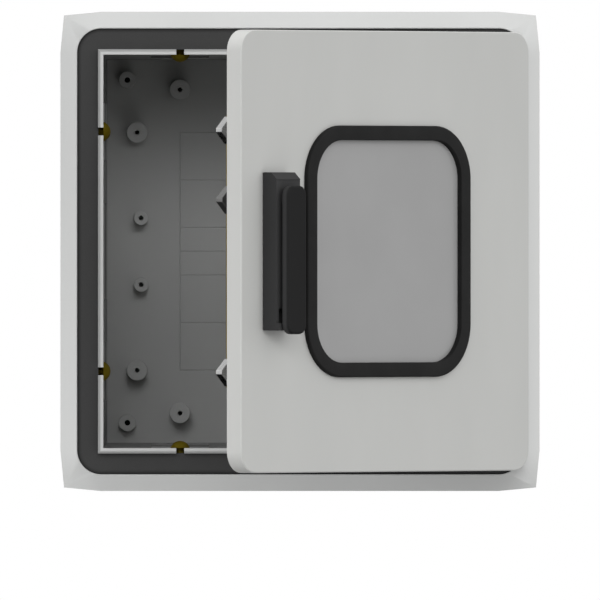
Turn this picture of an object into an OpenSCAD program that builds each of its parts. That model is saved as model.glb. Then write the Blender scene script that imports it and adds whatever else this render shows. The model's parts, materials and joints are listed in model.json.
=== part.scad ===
// Wall-hung moulded electrical enclosure with a hinged window door and a swing handle.
// The wall face is the plane y = 0, the front looks along -y, and z points up.
// The door is drawn in its open position, and every piece is built first in the wall frame:
// x to the right, y up the wall, z away from the wall.

/* [Frame] */
// Width and height of the square front frame
frame_size = 400; // [380:5:460]
// Depth from the wall face to the front of the closed door
overall_depth = 220; // [190:5:260]
// Width of the sloping band round the door opening
band_w = 14; // [11:0.5:18]
// Fall of the band from its lip to the skirt
band_fall = 14; // [10:0.5:18]
// Width of the flat land on the lip
lip_land = 1; // [0.5:0.25:2]
// Corner radius of the door opening
opening_r = 20; // [16:1:26]
// Length over which each side tapers to its corner
taper_l = 34; // [24:1:50]
// Distance that each corner is drawn in
taper_in = 3; // [1:0.5:6]
// Depth of the skirt behind the band
skirt_d = 40; // [25:5:60]
// Thickness of the skirt and the channel floor
skirt_t = 4; // [3:0.25:5]
// Thickness of the ribs inside the skirt
rib_t = 3; // [2:0.25:4]
// Distance of the inner ribs from the middle of a side
rib_near = 60; // [30:5:80]
// Distance of the outer ribs from the middle of a side
rib_far = 140; // [110:5:150]

/* [Tub] */
// Width of the seal channel between the lip and the collar
channel_w = 17.4; // [15:0.2:20]
// Depth of the channel below the lip
channel_d = 4; // [3:0.25:6]
// Drop of the seal strip below the lip
seal_drop = 0.8; // [0.6:0.1:1.6]
// Rise of the collar above the channel floor
collar_rise = 10; // [8:0.5:12]
// Thickness of the tub wall and the collar
wall_t = 4.5; // [3.5:0.25:6]
// Thickness of the tub floor
floor_t = 4; // [3:0.5:6]
// Draft of each wall between the rim and the floor
draft = 2.6; // [1:0.2:4]
// Depth of the undrafted part of the wall below the collar's front
rim_d = 32; // [28:1:40]
// Width of the wall pad in the middle of each side
mid_pad_w = 80; // [40:2:100]
// Width of the wall pads below the anchor studs
stud_pad_w = 48; // [30:2:60]
// Drop of the pad tops below the stud axis
pad_drop = 20; // [18:1:40]
// Width and depth of the scored lines on the floor
score = 0.6; // [0.4:0.1:1]
// Distance of the first scored lines from the middle
score_first = 20; // [10:1:30]
// Step from one scored line to the next
score_step = 40; // [30:1:42]

/* [Floor bosses] */
// Distance of the wall-fixing bosses from the walls
fix_inset = 17.3; // [14:0.1:24]
// Diameter of the wall-fixing bosses
fix_d = 14.1; // [11:0.1:18]
// Diameter of the wall-fixing holes
fix_hole_d = 4.8; // [4:0.1:7]
// Height of the wall-fixing bosses above the floor
fix_h = 10; // [5:1:20]
// Distance of the mounting-plate bosses from the walls
plate_inset = 25.5; // [20:0.1:32]
// Spacing of the mounting-plate bosses along a wall
plate_pitch = 200; // [150:5:220]
// Diameter of the mounting-plate bosses
plate_d = 17.1; // [13:0.1:20]
// Diameter of the screw holes in the mounting-plate bosses
plate_hole_d = 3.8; // [3:0.1:6]
// Height of the mounting-plate bosses above the floor
plate_h = 18; // [14:1:26]
// Distance of the rail bosses from the side walls
rail_inset = 28.9; // [22:0.1:40]
// Spacing of the rail bosses up the wall
rail_pitch = 56; // [40:1:80]
// Diameter of the rail bosses
rail_d = 11.9; // [9:0.1:15]
// Diameter of the screw holes in the rail bosses
rail_hole_d = 4; // [3:0.1:5]
// Height of the rail bosses above the floor
rail_h = 13; // [10:1:20]

/* [Anchor studs] */
// Spacing of the two studs on each side
stud_pitch = 200; // [150:5:220]
// Depth of the stud axis below the collar's front
stud_drop = 21.9; // [19:0.1:23.5]
// Diameter of the shank
shank_d = 6.4; // [5:0.1:8]
// Diameter of the domed head
head_d = 16.2; // [12:0.1:16.8]
// Height of the domed head
head_h = 6; // [4:0.1:7]
// Clearance of a shank in its slot, all round
slot_gap = 0.1; // [0.05:0.05:0.3]

/* [Door] */
// Angle at which the door stands open
door_open = 49; // [0:1:110]
// Gap between the door and the opening
door_gap = 2.35; // [1.5:0.05:3]
// Gap between the door's upper and lower edges and the opening
end_gap = 3.3; // [1.5:0.05:3.35]
// Depth of the door's edge
door_edge = 15.8; // [14:0.2:20]
// Rise of the closed door's back edge above the lip
door_rise = 0.2; // [0:0.1:1]
// Thickness of the door's front skin
skin_t = 3.5; // [2.5:0.25:4.5]
// Thickness of the door's rim
rim_t = 4; // [3:0.25:5]
// Radius of the door's front edge
door_edge_r = 1.25; // [1:0.25:4]

/* [Window] */
// Width of the window's clear opening
sight_w = 184; // [150:2:200]
// Corner radius of the clear opening
sight_r = 32; // [20:1:40]
// Width of the black window profile
profile_w = 12.15; // [10:0.05:15]
// Height of the window profile above the door
profile_h = 4.4; // [3:0.1:6]
// Depth of the profile's inner flange behind the skin
flange_t = 3; // [2:0.25:4]
// Thickness of the pane
pane_t = 3; // [2:0.25:4]
// Depth of the pane's front below the door's front
pane_drop = 0.5; // [0.3:0.1:1]
// Grip of the profile on the pane's edge
pane_grip = 3; // [2:0.25:4]

/* [Hinges] */
// Distance of the hinge axis inside the door's edge
hinge_inset = 2.5; // [2.2:0.05:2.65]
// Height of the hinge axis above the door's back edge
hinge_rise = 5.1; // [4.9:0.05:5.25]
// Diameter of a hinge pin
hinge_pin_d = 3.2; // [2.4:0.1:3.4]
// Outer diameter of the knuckles
knuckle_d = 5.2; // [4.8:0.1:5.6]
// Length of the leaf's knuckle
leaf_knuckle_l = 8; // [6:0.5:10]
// Overall length of a hinge along its pin
hinge_l = 24; // [20:1:30]
// Thickness of the bracket's arm
arm_t = 3.6; // [3:0.1:4]
// Thickness of the leaf
leaf_t = 3.5; // [2.5:0.25:3.5]
// Reach of the leaf along the door
leaf_l = 39; // [32:1:60]
// Gap between the moving faces of a hinge
hinge_gap = 0.3; // [0.2:0.05:0.5]
// Diameter of the leaf's screws
leaf_screw_d = 4; // [3:0.1:5]

/* [Handle] */
// Distance of the handle base from the door's free edge
base_inset = 26.5; // [22:0.5:32]
// Width of the handle base
base_w = 30; // [28:0.5:36]
// Height of the handle base
base_l = 130.4; // [120:0.2:150]
// Height of the base above the door
base_h = 15.3; // [13:0.1:18]
// Length of the base's two ends, above and below the lever's bed
base_end_t = 6; // [4:0.2:8]
// Height of the upper end above the door, where it meets the bed
base_end_h = 16; // [15.4:0.2:20]
// Fall of the upper end's sloping front
base_end_fall = 6.4; // [2:0.2:8]
// Rise of the ledge above the base's front
ledge_h = 2.4; // [1:0.1:2.4]
// Length of the finger pocket
pocket_l = 12; // [8:0.5:16]
// Depth of the finger pocket
pocket_d = 6; // [3:0.5:8]
// Width of the base's wall beside the pocket
pocket_wall = 3.2; // [2:0.1:5]
// Thickness of the seal below the base
base_seal_t = 1; // [0.6:0.1:1.5]
// Distance of the spindle axis below the upper end
spindle_drop = 16.8; // [16:0.1:18]
// Width of the lever
lever_w = 24; // [20:0.5:28]
// Thickness of the lever
lever_t = 7.4; // [6.6:0.1:9]
// Length of the lever
lever_l = 122.5; // [112:0.5:124]
// Gap between the lever and the base's upper end
lever_gap = 5; // [4:0.25:6]
// Gap between the lever and the base's ledge
lever_rest = 0.3; // [0.3:0.1:0.8]
// Corner radius of the lever
lever_r = 8; // [5:0.5:9]
// Radius of the lever's edges
lever_edge_r = 2.2; // [1:0.2:3]
// Distance of the lever pin from the lever's end
lever_pin_in = 4.2; // [3.8:0.1:4.6]
// Diameter of the lever pin
lever_pin_d = 2; // [1.6:0.1:2.4]
// Width of the hub's lug
lug_w = 10; // [8:0.5:12]
// Radius of the hub's lug round the pin
lug_r = 2.6; // [2.2:0.1:2.8]
// Diameter of the hub's disc
hub_d = 18; // [15:0.5:18]
// Diameter of the hub's shaft
hub_shaft_d = 14; // [11:0.5:14]
// Diameter of the spindle
spindle_d = 8; // [7:0.25:9]
// Running clearance of turning pieces, on the radius
run_gap = 0.3; // [0.25:0.05:0.4]
// Wall of the spindle bush
bush_t = 1.7; // [1.2:0.1:2.5]
// Reach of the bush behind the skin
bush_l = 24; // [10:1:34]
// Diameter of the handle screws
handle_screw_d = 4; // [3:0.1:5]

/* [Latch] */
// Depth of the latch bar's front below the door's front
bar_drop = 47.5; // [44:0.5:49.5]
// Thickness of the latch bar
bar_t = 3; // [2:0.25:4]
// Width of the latch bar
bar_w = 20.5; // [19:0.5:24]
// Distance of the bar's edge from the spindle axis
bar_side = 2.5; // [1:0.25:4]
// Thickness of the tongues
tongue_t = 7; // [5:0.25:8]
// Half height of a tongue
tongue_half = 11.4; // [9:0.2:12]
// Height of a tongue's blunt tip
tongue_tip = 3.3; // [2:0.1:5]
// Length of a tongue's pointed nose
nose_l = 10.9; // [8:0.1:13]
// Reach of a tongue past the stud heads
tongue_reach = 2.9; // [2:0.1:3.4]
// Distance of the drive pin from the spindle axis
crank_r = 11; // [10:0.25:11.5]
// Diameter of the drive pin
drive_pin_d = 5; // [4:0.25:5.5]
// Height of the upper bar guide above the spindle axis
guide_up = 29.6; // [26:0.2:34]
// Depth of the lower bar guide below the door's middle
guide_low = 60; // [40:0.5:64]
// Diameter of the pillars that carry the guides
pillar_d = 9; // [8:0.25:10]
// Diameter of the guide screws' shoulders
shoulder_d = 6; // [5:0.25:6.5]
// Diameter of the rivets
rivet_d = 4.4; // [3:0.1:5]

/* [Hidden] */
$fn = 64;
hull_fn = 32;
arc_steps = 4;
// Run of a cut past the face that it leaves
over = 1;
// Sunk depth of a boss or rib in the wall that it grows from
sink = 1;
// Half-size difference of a piece laid in a recess
lay_gap = 0.2;

// Colours
grey_c = [0.74, 0.74, 0.73];
seal_c = [0.23, 0.24, 0.25];
black_c = [0.13, 0.13, 0.14];
olive_c = [0.40, 0.34, 0.08];
steel_c = [0.62, 0.63, 0.65];
pane_c = [0.60, 0.61, 0.61];

// Half sizes of the square outlines, from the outside in
frame_half = frame_size / 2;
opening_half = frame_half - band_w;
door_half = opening_half - door_gap;
door_tall_half = opening_half - end_gap;
door_r = opening_r - door_gap;
rim_out = opening_half - channel_w;
rim_in = rim_out - wall_t;
floor_half = rim_in - draft;

// Depths, measured from the wall
door_front = overall_depth;
door_back = door_front - door_edge;
skin_in = door_front - skin_t;
lip = door_back - door_rise;
band_low = lip - band_fall;
skirt_back = band_low - skirt_d;
channel_floor = lip - channel_d;
seal_top = lip - seal_drop;
collar_front = channel_floor + collar_rise;
stud_w = collar_front - stud_drop;
rim_low = collar_front - rim_d;
pad_top = stud_w - pad_drop;

// Underside of the band, one skirt thickness inside it
band_run = band_w - lip_land;
band_len = sqrt(band_run * band_run + band_fall * band_fall);
under_top = channel_floor - skirt_t;
under_drop = skirt_t * band_len / band_run;
under_half = opening_half + lip_land + (lip - under_drop - under_top) * band_run / band_fall;
under_low = lip - under_drop - (frame_half - skirt_t - opening_half - lip_land) * band_fall / band_run;
lip_edge = 0.5;
rib_low = skirt_back + skirt_d / 4;
score_rows = 3;

// Boss places, from the foot of the walls
fix_at = floor_half - fix_inset;
plate_at = floor_half - plate_inset;
rail_at = floor_half - rail_inset;

// Window sizes, from the clear opening out
sight_half = sight_w / 2;
profile_half = sight_half + profile_w;
profile_r = sight_r + profile_w;
pane_half = sight_half + pane_grip;
pane_r = sight_r + pane_grip;
window_cut_half = pane_half + 3;
window_cut_r = pane_r + 3;
pane_front = door_front - pane_drop;
profile_edge_r = 1.4;
flange_half = window_cut_half + 4;
leaf_screw_bite = 2.5;
guide_thread_d = 4;
guide_thread_l = 12;

// Hinge
hinge_x = door_half - hinge_inset;
hinge_w = door_back + hinge_rise;
knuckle_r = knuckle_d / 2;
arm_clear = 0.85;
arm_top = hinge_w - arm_clear;
arm_low = arm_top - arm_t;
arm_end = hinge_x - knuckle_r - 2 * hinge_gap;
pin_end = 1;
notch_l = hinge_l + 2 * pin_end + 4 * hinge_gap;
notch_top = hinge_w + knuckle_r + 3 * hinge_gap;
leaf_x = hinge_x - leaf_l;
leaf_screw_edge = 6;
leaf_screw_step = 10;
leaf_screw_x = [leaf_x + leaf_screw_edge, leaf_x + leaf_screw_edge + leaf_screw_step];
leaf_screw_head_h = 2.4;
key_w = shank_d - 0.4;
clamp_t = 3;
clamp_w = 20;
clamp_h = 24;

// Handle, with heights above the door as n and the door's front as 0
base_x = -door_half + base_inset;
spindle_x = base_x + base_w / 2;
base_half = base_l / 2;
spindle_v = base_half - base_end_t - spindle_drop;
ledge_top = base_h + ledge_h;
lever_low = ledge_top + lever_rest;
lever_top = lever_low + lever_t;
lever_end = base_half - base_end_t - lever_gap;
lever_pin_v = lever_end - lever_pin_in;
lever_pin_n = lever_low + lug_r;
lug_gap = 0.4;
lever_cheek = 1.8;
hub_top = lever_low - 0.5;
hub_low = base_h + run_gap;
hub_foot = 4;
bush_bore_r = spindle_d / 2 + run_gap;
bush_r = bush_bore_r + bush_t;
bush_flange_r = bush_r + 4;
bush_flange_t = 3;
handle_screw_in = 25.2;
handle_screw_v = [spindle_v - handle_screw_in, -base_half + handle_screw_in];
handle_screw_n = 9;
screw_head_h = 2.6;

// Latch, with depths below the door's front as negative n
bar_front = -bar_drop;
bar_back = bar_front - bar_t;
bar_x = spindle_x - bar_side;
tongue_front = bar_front + tongue_t;
tip_x = -(rim_in - head_h + tongue_reach);
tongue_back_x = bar_x + bar_w - 2;
tongue_v = stud_pitch / 2;
cam_back = bar_front + run_gap;
cam_front = cam_back + tongue_t;
cam_hub_r = tongue_half + 0.6;
cam_lobe_r = drive_pin_d / 2 + 3;
cam_screw_d = 3.4;
cam_screw_l = 12;
cam_screw_head_r = 4.75;
cam_screw_head_h = 2.2;
cam_recess = cam_screw_head_h + 0.4;
square_w = spindle_d * 0.7;
crank = crank_r * sin(45);
bar_travel = 2 * crank;
drive_gap = 0.65;
guide_x = spindle_x + 7;
guide_v = [spindle_v + guide_up, -guide_low];
pillar_end = bar_front + run_gap;
guide_head_d = shoulder_d + 5;
guide_head_t = 3;
rivet_x = [bar_x + 5, bar_x + bar_w - 6];
rivet_head_t = 1.5;

// Turns a piece from the wall frame to the part's own frame
module wall_frame() {
    rotate([90, 0, 0]) children();
}

// Places a piece of the closed door on the open door
module on_door() {
    wall_frame() translate([hinge_x, 0, hinge_w]) rotate([0, door_open, 0])
        translate([-hinge_x, 0, -hinge_w]) children();
}

// Moves a piece to a height above the door's front
module above_door(n) {
    translate([0, 0, door_front + n]) children();
}

// Lays an outline of (height, n) along x
module along_x(x0, x1) {
    translate([x0, 0, 0]) rotate([90, 0, 90]) linear_extrude(x1 - x0) children();
}

// Repeats a piece built on the right-hand wall for the given wall angles
module on_walls(angles) {
    for (a = angles) rotate(a) children();
}

module round_square(half, r) {
    square([2 * half, 2 * (half - r)], center = true);
    square([2 * (half - r), 2 * half], center = true);
    for (x = [-1, 1], y = [-1, 1]) translate([x, y] * (half - r)) circle(r);
}

module slab(half, r, low, high) {
    translate([0, 0, low]) linear_extrude(high - low) round_square(half, r);
}

module square_slab(half, low, high) {
    translate([-half, -half, low]) cube([2 * half, 2 * half, high - low]);
}

module drafted_slab(half_low, half_high, low, high) {
    translate([0, 0, low]) linear_extrude(high - low, scale = half_high / half_low)
        square(2 * half_low, center = true);
}

function arc_points(c, r, from, to) =
    [for (i = [0:arc_steps]) let (a = from + (to - from) * i / arc_steps) c + r * [cos(a), sin(a)]];

// Disc with rounded edges, the corner of a rounded plate
module edge_disc(r, h, low_r, high_r) {
    low = low_r > 0 ? arc_points([r - low_r, low_r], low_r, -90, 0) : [[r, 0]];
    high = arc_points([r - high_r, h - high_r], high_r, 0, 90);
    rotate_extrude($fn = hull_fn) polygon(concat([[0, 0]], low, high, [[0, h]]));
}

module rounded_plate(w, l, r, h, low_r, high_r) {
    hull() for (x = [-1, 1], y = [-1, 1])
        translate([x * (w / 2 - r), y * (l / 2 - r), 0]) edge_disc(r, h, low_r, high_r);
}

module dome(r, h) {
    ball_r = (r * r + h * h) / (2 * h);
    intersection() {
        translate([0, 0, h - ball_r]) sphere(ball_r);
        cylinder(r = 2 * r, h = h + over);
    }
}

// Slot with round ends that runs from one height to another
module upright_slot(x, v_low, v_high, d, low, high) {
    for (v = [v_low, v_high]) translate([x, v, low]) cylinder(d = d, h = high - low);
    translate([x - d / 2, v_low, low]) cube([d, v_high - v_low, high - low]);
}

// Outline of the frame: each side runs straight, then tapers to a sharp corner
module frame_outline(inset) {
    side = frame_half - inset;
    run = frame_half - taper_l;
    corner = frame_half - taper_in - inset;
    polygon([for (a = [0:90:270]) for (p = [[side, -run], [side, run], [corner, corner]])
        [p.x * cos(a) - p.y * sin(a), p.x * sin(a) + p.y * cos(a)]]);
}

module hood_outside() {
    hull($fn = hull_fn) {
        slab(opening_half + lip_land, opening_r + lip_land, lip - lip_edge, lip, $fn = hull_fn);
        translate([0, 0, skirt_back]) linear_extrude(band_low - skirt_back) frame_outline(0);
    }
}

module hood_inside() {
    under_r = opening_r + under_half - opening_half;
    hull($fn = hull_fn) {
        slab(under_half, under_r, under_top - lip_edge, under_top, $fn = hull_fn);
        translate([0, 0, skirt_back - over]) linear_extrude(under_low - skirt_back + over)
            frame_outline(skirt_t);
    }
}

module hood_ribs() {
    intersection() {
        hood_outside();
        on_walls([0:90:270]) for (t = [-1, 1], at = [rib_near, rib_far])
            translate([rim_out - sink, t * at - rib_t / 2, rib_low])
                cube([frame_half - rim_out - sink, rib_t, under_top + sink - rib_low]);
    }
}

module hood() {
    difference() {
        hood_outside();
        hood_inside();
        slab(opening_half, opening_r, channel_floor, lip + over);
    }
    hood_ribs();
}

module tub_outside() {
    drafted_slab(floor_half + wall_t, rim_out, 0, rim_low);
    square_slab(rim_out, rim_low, collar_front);
}

module tub_inside() {
    drafted_slab(floor_half, rim_in, floor_t, rim_low);
    square_slab(rim_in, rim_low, collar_front + over);
}

module wall_pad(at, w) {
    translate([floor_half, at - w / 2, floor_t - sink]) cube([draft + sink, w, pad_top - floor_t + sink]);
}

module wall_pads() {
    on_walls([0:90:270]) {
        wall_pad(0, mid_pad_w);
        for (t = [-1, 1]) wall_pad(t * stud_pitch / 2, stud_pad_w);
    }
}

module at_fix_bosses() {
    for (x = [-1, 1], y = [-1, 1]) translate([x * fix_at, y * fix_at, 0]) children();
}

module at_plate_bosses() {
    for (x = [-1, 1], y = [-1, 1]) {
        translate([x * plate_pitch / 2, y * plate_at, 0]) children();
        translate([x * plate_at, y * plate_pitch / 2, 0]) children();
    }
}

module at_rail_bosses() {
    for (x = [-1, 1], y = [-1, 1]) translate([x * rail_at, y * rail_pitch / 2, 0]) children();
}

module boss(d, h) {
    translate([0, 0, floor_t - sink]) cylinder(d = d, h = h + sink);
}

module boss_hole(d, h) {
    translate([0, 0, floor_t]) cylinder(d = d, h = h + over);
}

module floor_scores() {
    low = floor_t - score;
    high = 2 * score;
    rows = [for (i = [0:score_rows - 1]) score_first + i * score_step];
    reach = max(rows);
    for (x = [-reach, reach]) translate([x - score / 2, -reach, low]) cube([score, 2 * reach, high]);
    for (y = concat([0], rows, -rows)) translate([-reach, y - score / 2, low]) cube([2 * reach, score, high]);
}

// Slots in the collar, open to the front and rounded at the bottom, where the studs sit
module stud_slots() {
    slot_d = shank_d + 2 * slot_gap;
    from = rim_in - over;
    run = wall_t + 1.5 * over;
    on_walls([0:90:270]) for (t = [-1, 1]) translate([from, t * stud_pitch / 2, stud_w]) {
        rotate([0, 90, 0]) cylinder(d = slot_d, h = run);
        translate([0, -slot_d / 2, 0]) cube([run, slot_d, stud_drop + over]);
    }
}

module base_tub() {
    color(grey_c) wall_frame() difference() {
        union() {
            difference() {
                union() {
                    hood();
                    tub_outside();
                }
                tub_inside();
            }
            wall_pads();
            at_fix_bosses() boss(fix_d, fix_h);
            at_plate_bosses() boss(plate_d, plate_h);
            at_rail_bosses() boss(rail_d, rail_h);
        }
        at_fix_bosses() translate([0, 0, -over]) cylinder(d = fix_hole_d, h = floor_t + fix_h + 2 * over);
        at_plate_bosses() boss_hole(plate_hole_d, plate_h);
        at_rail_bosses() boss_hole(rail_hole_d, rail_h);
        floor_scores();
        stud_slots();
    }
}

module frame_gasket() {
    color(seal_c) wall_frame() difference() {
        slab(opening_half - lay_gap, opening_r - lay_gap, channel_floor, seal_top);
        square_slab(rim_out + lay_gap, channel_floor - over, seal_top + over);
    }
}

module anchor_stud() {
    end_h = shank_d / 5;
    translate([rim_in, 0, 0]) {
        rotate([0, 90, 0]) cylinder(d = shank_d, h = wall_t - end_h);
        translate([wall_t - end_h, 0, 0]) rotate([0, 90, 0]) dome(shank_d / 2, end_h);
        rotate([0, -90, 0]) dome(head_d / 2, head_h);
    }
}

module anchor_studs() {
    color(olive_c) wall_frame() on_walls([90, 180, 270]) for (t = [-1, 1])
        translate([0, t * stud_pitch / 2, stud_w]) anchor_stud();
}

// Round bar along the hinge axis
module hinge_rod(from, to, d) {
    translate([hinge_x, from, hinge_w]) rotate([-90, 0, 0]) cylinder(d = d, h = to - from);
}

// One bracket: a clamp plate inside the collar, a key through its slot, an arm and two knuckles
module hinge_bracket() {
    outer = hinge_l / 2;
    inner = leaf_knuckle_l / 2 + hinge_gap;
    from = rim_in - clamp_t;
    difference() {
        union() {
            translate([from, -clamp_w / 2, stud_w - clamp_h / 3]) cube([clamp_t, clamp_w, clamp_h]);
            translate([from, 0, stud_w]) rotate([0, 90, 0]) cylinder(d = key_w, h = wall_t + clamp_t);
            translate([from, -key_w / 2, stud_w]) cube([wall_t + clamp_t, key_w, arm_top - stud_w]);
            translate([rim_out - sink, -key_w / 2, arm_low]) cube([3 * sink, key_w, arm_t]);
            translate([rim_out + sink, -outer, arm_low]) cube([arm_end - rim_out - sink, hinge_l, arm_t]);
            for (t = [-outer, inner]) translate([0, t, 0]) {
                translate([arm_end - sink, 0, hinge_w - knuckle_r])
                    cube([hinge_x - arm_end + sink, outer - inner, arm_top - hinge_w + knuckle_r]);
                hinge_rod(0, outer - inner, knuckle_d);
            }
        }
        hinge_rod(-outer - over, outer + over, hinge_pin_d);
    }
}

module hinge_brackets() {
    color(steel_c) wall_frame() for (t = [-1, 1]) translate([0, t * stud_pitch / 2, 0]) hinge_bracket();
}

module hinge_pins() {
    reach = hinge_l / 2 + pin_end;
    color(steel_c) wall_frame() for (t = [-1, 1])
        translate([0, t * stud_pitch / 2, 0]) hinge_rod(-reach, reach, hinge_pin_d);
}

module door_shell() {
    difference() {
        translate([0, 0, door_back])
            rounded_plate(2 * door_half, 2 * door_tall_half, door_r, door_edge, 0, door_edge_r);
        slab(door_half - rim_t, door_r - rim_t, door_back - over, skin_in);
    }
}

module guide_pillars() {
    for (v = guide_v) translate([guide_x, v, door_front + pillar_end])
        cylinder(d = pillar_d, h = -pillar_end - skin_t + sink);
}

module hinge_notches() {
    for (t = [-1, 1]) translate([arm_end, t * stud_pitch / 2 - notch_l / 2, door_back - over])
        cube([door_half - arm_end + over, notch_l, notch_top - door_back + over]);
}

module door_panel() {
    color(grey_c) on_door() difference() {
        union() {
            door_shell();
            guide_pillars();
        }
        hinge_notches();
        slab(window_cut_half, window_cut_r, skin_in - over, door_front + over);
        translate([spindle_x, spindle_v, skin_in - over])
            cylinder(r = bush_r + lay_gap / 2, h = skin_t + 2 * over);
        for (v = handle_screw_v) translate([spindle_x, v, skin_in - over])
            cylinder(d = handle_screw_d, h = skin_t + 2 * over);
        for (t = [-1, 1], x = leaf_screw_x) translate([x, t * stud_pitch / 2, skin_in - over])
            cylinder(d = leaf_screw_d, h = over + leaf_screw_bite);
        for (v = guide_v) translate([guide_x, v, door_front + pillar_end - over])
            cylinder(d = guide_thread_d, h = guide_thread_l + over);
    }
}

module window_seal() {
    color(black_c) on_door() difference() {
        union() {
            above_door(0)
                rounded_plate(2 * profile_half, 2 * profile_half, profile_r, profile_h, 0, profile_edge_r);
            slab(window_cut_half, window_cut_r, skin_in, door_front);
            slab(flange_half, window_cut_r + 4, skin_in - flange_t, skin_in);
        }
        slab(sight_half, sight_r, skin_in - flange_t - over, door_front + profile_h + over);
        slab(pane_half, pane_r, pane_front - pane_t, pane_front);
    }
}

module window_pane() {
    color(pane_c) on_door() slab(pane_half, pane_r, pane_front - pane_t, pane_front);
}

module hinge_leaf() {
    half = leaf_knuckle_l / 2;
    leaf_low = skin_in - leaf_t;
    neck_x = hinge_x - knuckle_r - 4;
    neck_end = door_half - rim_t - lay_gap;
    difference() {
        union() {
            translate([leaf_x, -hinge_l / 2, leaf_low]) cube([neck_x + sink - leaf_x, hinge_l, leaf_t]);
            translate([neck_x, -half, notch_top - sink])
                cube([neck_end - neck_x, leaf_knuckle_l, skin_in - notch_top + sink]);
            translate([neck_x, -half, hinge_w]) cube([hinge_x - neck_x, leaf_knuckle_l, knuckle_r]);
            translate([neck_x, -half, hinge_w])
                cube([neck_end - neck_x, leaf_knuckle_l, notch_top - hinge_w]);
            hinge_rod(-half, half, knuckle_d);
        }
        hinge_rod(-half - over, half + over, hinge_pin_d + hinge_gap);
        for (x = leaf_screw_x) translate([x, 0, leaf_low - over])
            cylinder(d = leaf_screw_d, h = leaf_t + 2 * over);
    }
}

module hinge_leaves() {
    color(steel_c) on_door() for (t = [-1, 1]) translate([0, t * stud_pitch / 2, 0]) hinge_leaf();
}

// Screw with a domed head, driven along +z from the plane z = 0
module screw(d, head_r, head_h, l) {
    cylinder(d = d, h = l);
    rotate([180, 0, 0]) dome(head_r, head_h);
}

module hinge_leaf_screws() {
    color(steel_c) on_door() for (t = [-1, 1], x = leaf_screw_x)
        translate([x, t * stud_pitch / 2, skin_in - leaf_t])
            screw(leaf_screw_d, leaf_screw_d, leaf_screw_head_h, leaf_t + leaf_screw_bite);
}

module handle_base() {
    color(black_c) on_door() above_door(0) difference() {
        along_x(base_x, base_x + base_w) polygon([
            [-base_half, base_seal_t], [-base_half, ledge_top], [-base_half + base_end_t, ledge_top],
            [-base_half + base_end_t, base_h], [base_half - base_end_t, base_h],
            [base_half - base_end_t, base_end_h], [base_half, base_end_h - base_end_fall],
            [base_half, base_seal_t]]);
        translate([base_x + pocket_wall, -base_half + base_end_t, base_h - pocket_d])
            cube([base_w - 2 * pocket_wall, pocket_l, pocket_d + over]);
        translate([spindle_x, spindle_v, hub_foot]) cylinder(d = hub_shaft_d + 2 * run_gap, h = base_h);
        translate([spindle_x, spindle_v, 0]) cylinder(r = bush_bore_r, h = base_h);
        for (v = handle_screw_v) translate([spindle_x, v, 0])
            cylinder(d = handle_screw_d, h = handle_screw_n);
    }
}

module handle_seal() {
    inset = 0.5;
    color(seal_c) on_door() above_door(0) difference() {
        translate([base_x + inset, -base_half + inset, 0])
            cube([base_w - 2 * inset, base_l - 2 * inset, base_seal_t]);
        translate([spindle_x, spindle_v, -over]) cylinder(r = bush_r, h = base_seal_t + 2 * over);
        for (v = handle_screw_v) translate([spindle_x, v, -over])
            cylinder(d = handle_screw_d, h = base_seal_t + 2 * over);
    }
}

module handle_screws() {
    color(steel_c) on_door() above_door(-skin_t) for (v = handle_screw_v) translate([spindle_x, v, 0])
        screw(handle_screw_d, handle_screw_d, screw_head_h, skin_t + handle_screw_n);
}

module spindle_bush() {
    color(black_c) on_door() above_door(0) translate([spindle_x, spindle_v, 0]) difference() {
        union() {
            translate([0, 0, -skin_t - bush_l]) cylinder(r = bush_r, h = skin_t + bush_l);
            translate([0, 0, -skin_t - bush_flange_t]) cylinder(r = bush_flange_r, h = bush_flange_t);
        }
        translate([0, 0, -skin_t - bush_l - over]) cylinder(r = bush_bore_r, h = skin_t + bush_l + 2 * over);
    }
}

module bar_guide_screws() {
    shoulder_l = bar_t + 2 * run_gap;
    screw_seat = pillar_end - shoulder_l;
    color(steel_c) on_door() above_door(screw_seat) for (v = guide_v) translate([guide_x, v, 0]) {
        cylinder(d = shoulder_d, h = shoulder_l);
        cylinder(d = guide_thread_d, h = shoulder_l + guide_thread_l);
        translate([0, 0, -guide_head_t]) cylinder(d = guide_head_d, h = guide_head_t);
    }
}

module at_spindle(n) {
    above_door(n) translate([spindle_x, spindle_v, 0]) children();
}

module handle_hub() {
    lug_v = lever_pin_v - spindle_v;
    color(black_c) on_door() at_spindle(0) difference() {
        union() {
            translate([0, 0, hub_low]) cylinder(d = hub_d, h = hub_top - hub_low);
            translate([0, 0, hub_foot + run_gap]) cylinder(d = hub_shaft_d, h = hub_top - hub_foot - run_gap);
            translate([-lug_w / 2, lug_v - lug_r, hub_top - sink])
                cube([lug_w, 2 * lug_r, lever_pin_n - hub_top + sink]);
            translate([-lug_w / 2, lug_v, lever_pin_n]) rotate([0, 90, 0]) cylinder(r = lug_r, h = lug_w);
        }
        translate([-lug_w, lug_v, lever_pin_n]) rotate([0, 90, 0]) cylinder(d = lever_pin_d, h = 2 * lug_w);
        cylinder(d = spindle_d, h = hub_low - sink);
    }
}

module spindle() {
    cam_seat = cam_back + cam_recess;
    color(steel_c) on_door() at_spindle(0) difference() {
        union() {
            translate([0, 0, cam_front]) cylinder(d = spindle_d, h = hub_low - sink - cam_front);
            translate([-square_w / 2, -square_w / 2, cam_seat])
                cube([square_w, square_w, cam_front - cam_seat + sink]);
        }
        translate([0, 0, cam_seat - over]) cylinder(d = cam_screw_d, h = cam_screw_l + over);
    }
}

// Pointed outline that runs from a tongue's blunt tip to a given x
module nose_outline(half, end_x) {
    polygon([[tip_x, -tongue_tip / 2], [tip_x, tongue_tip / 2], [tip_x + nose_l, half],
        [end_x, half], [end_x, -half], [tip_x + nose_l, -half]]);
}

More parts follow.
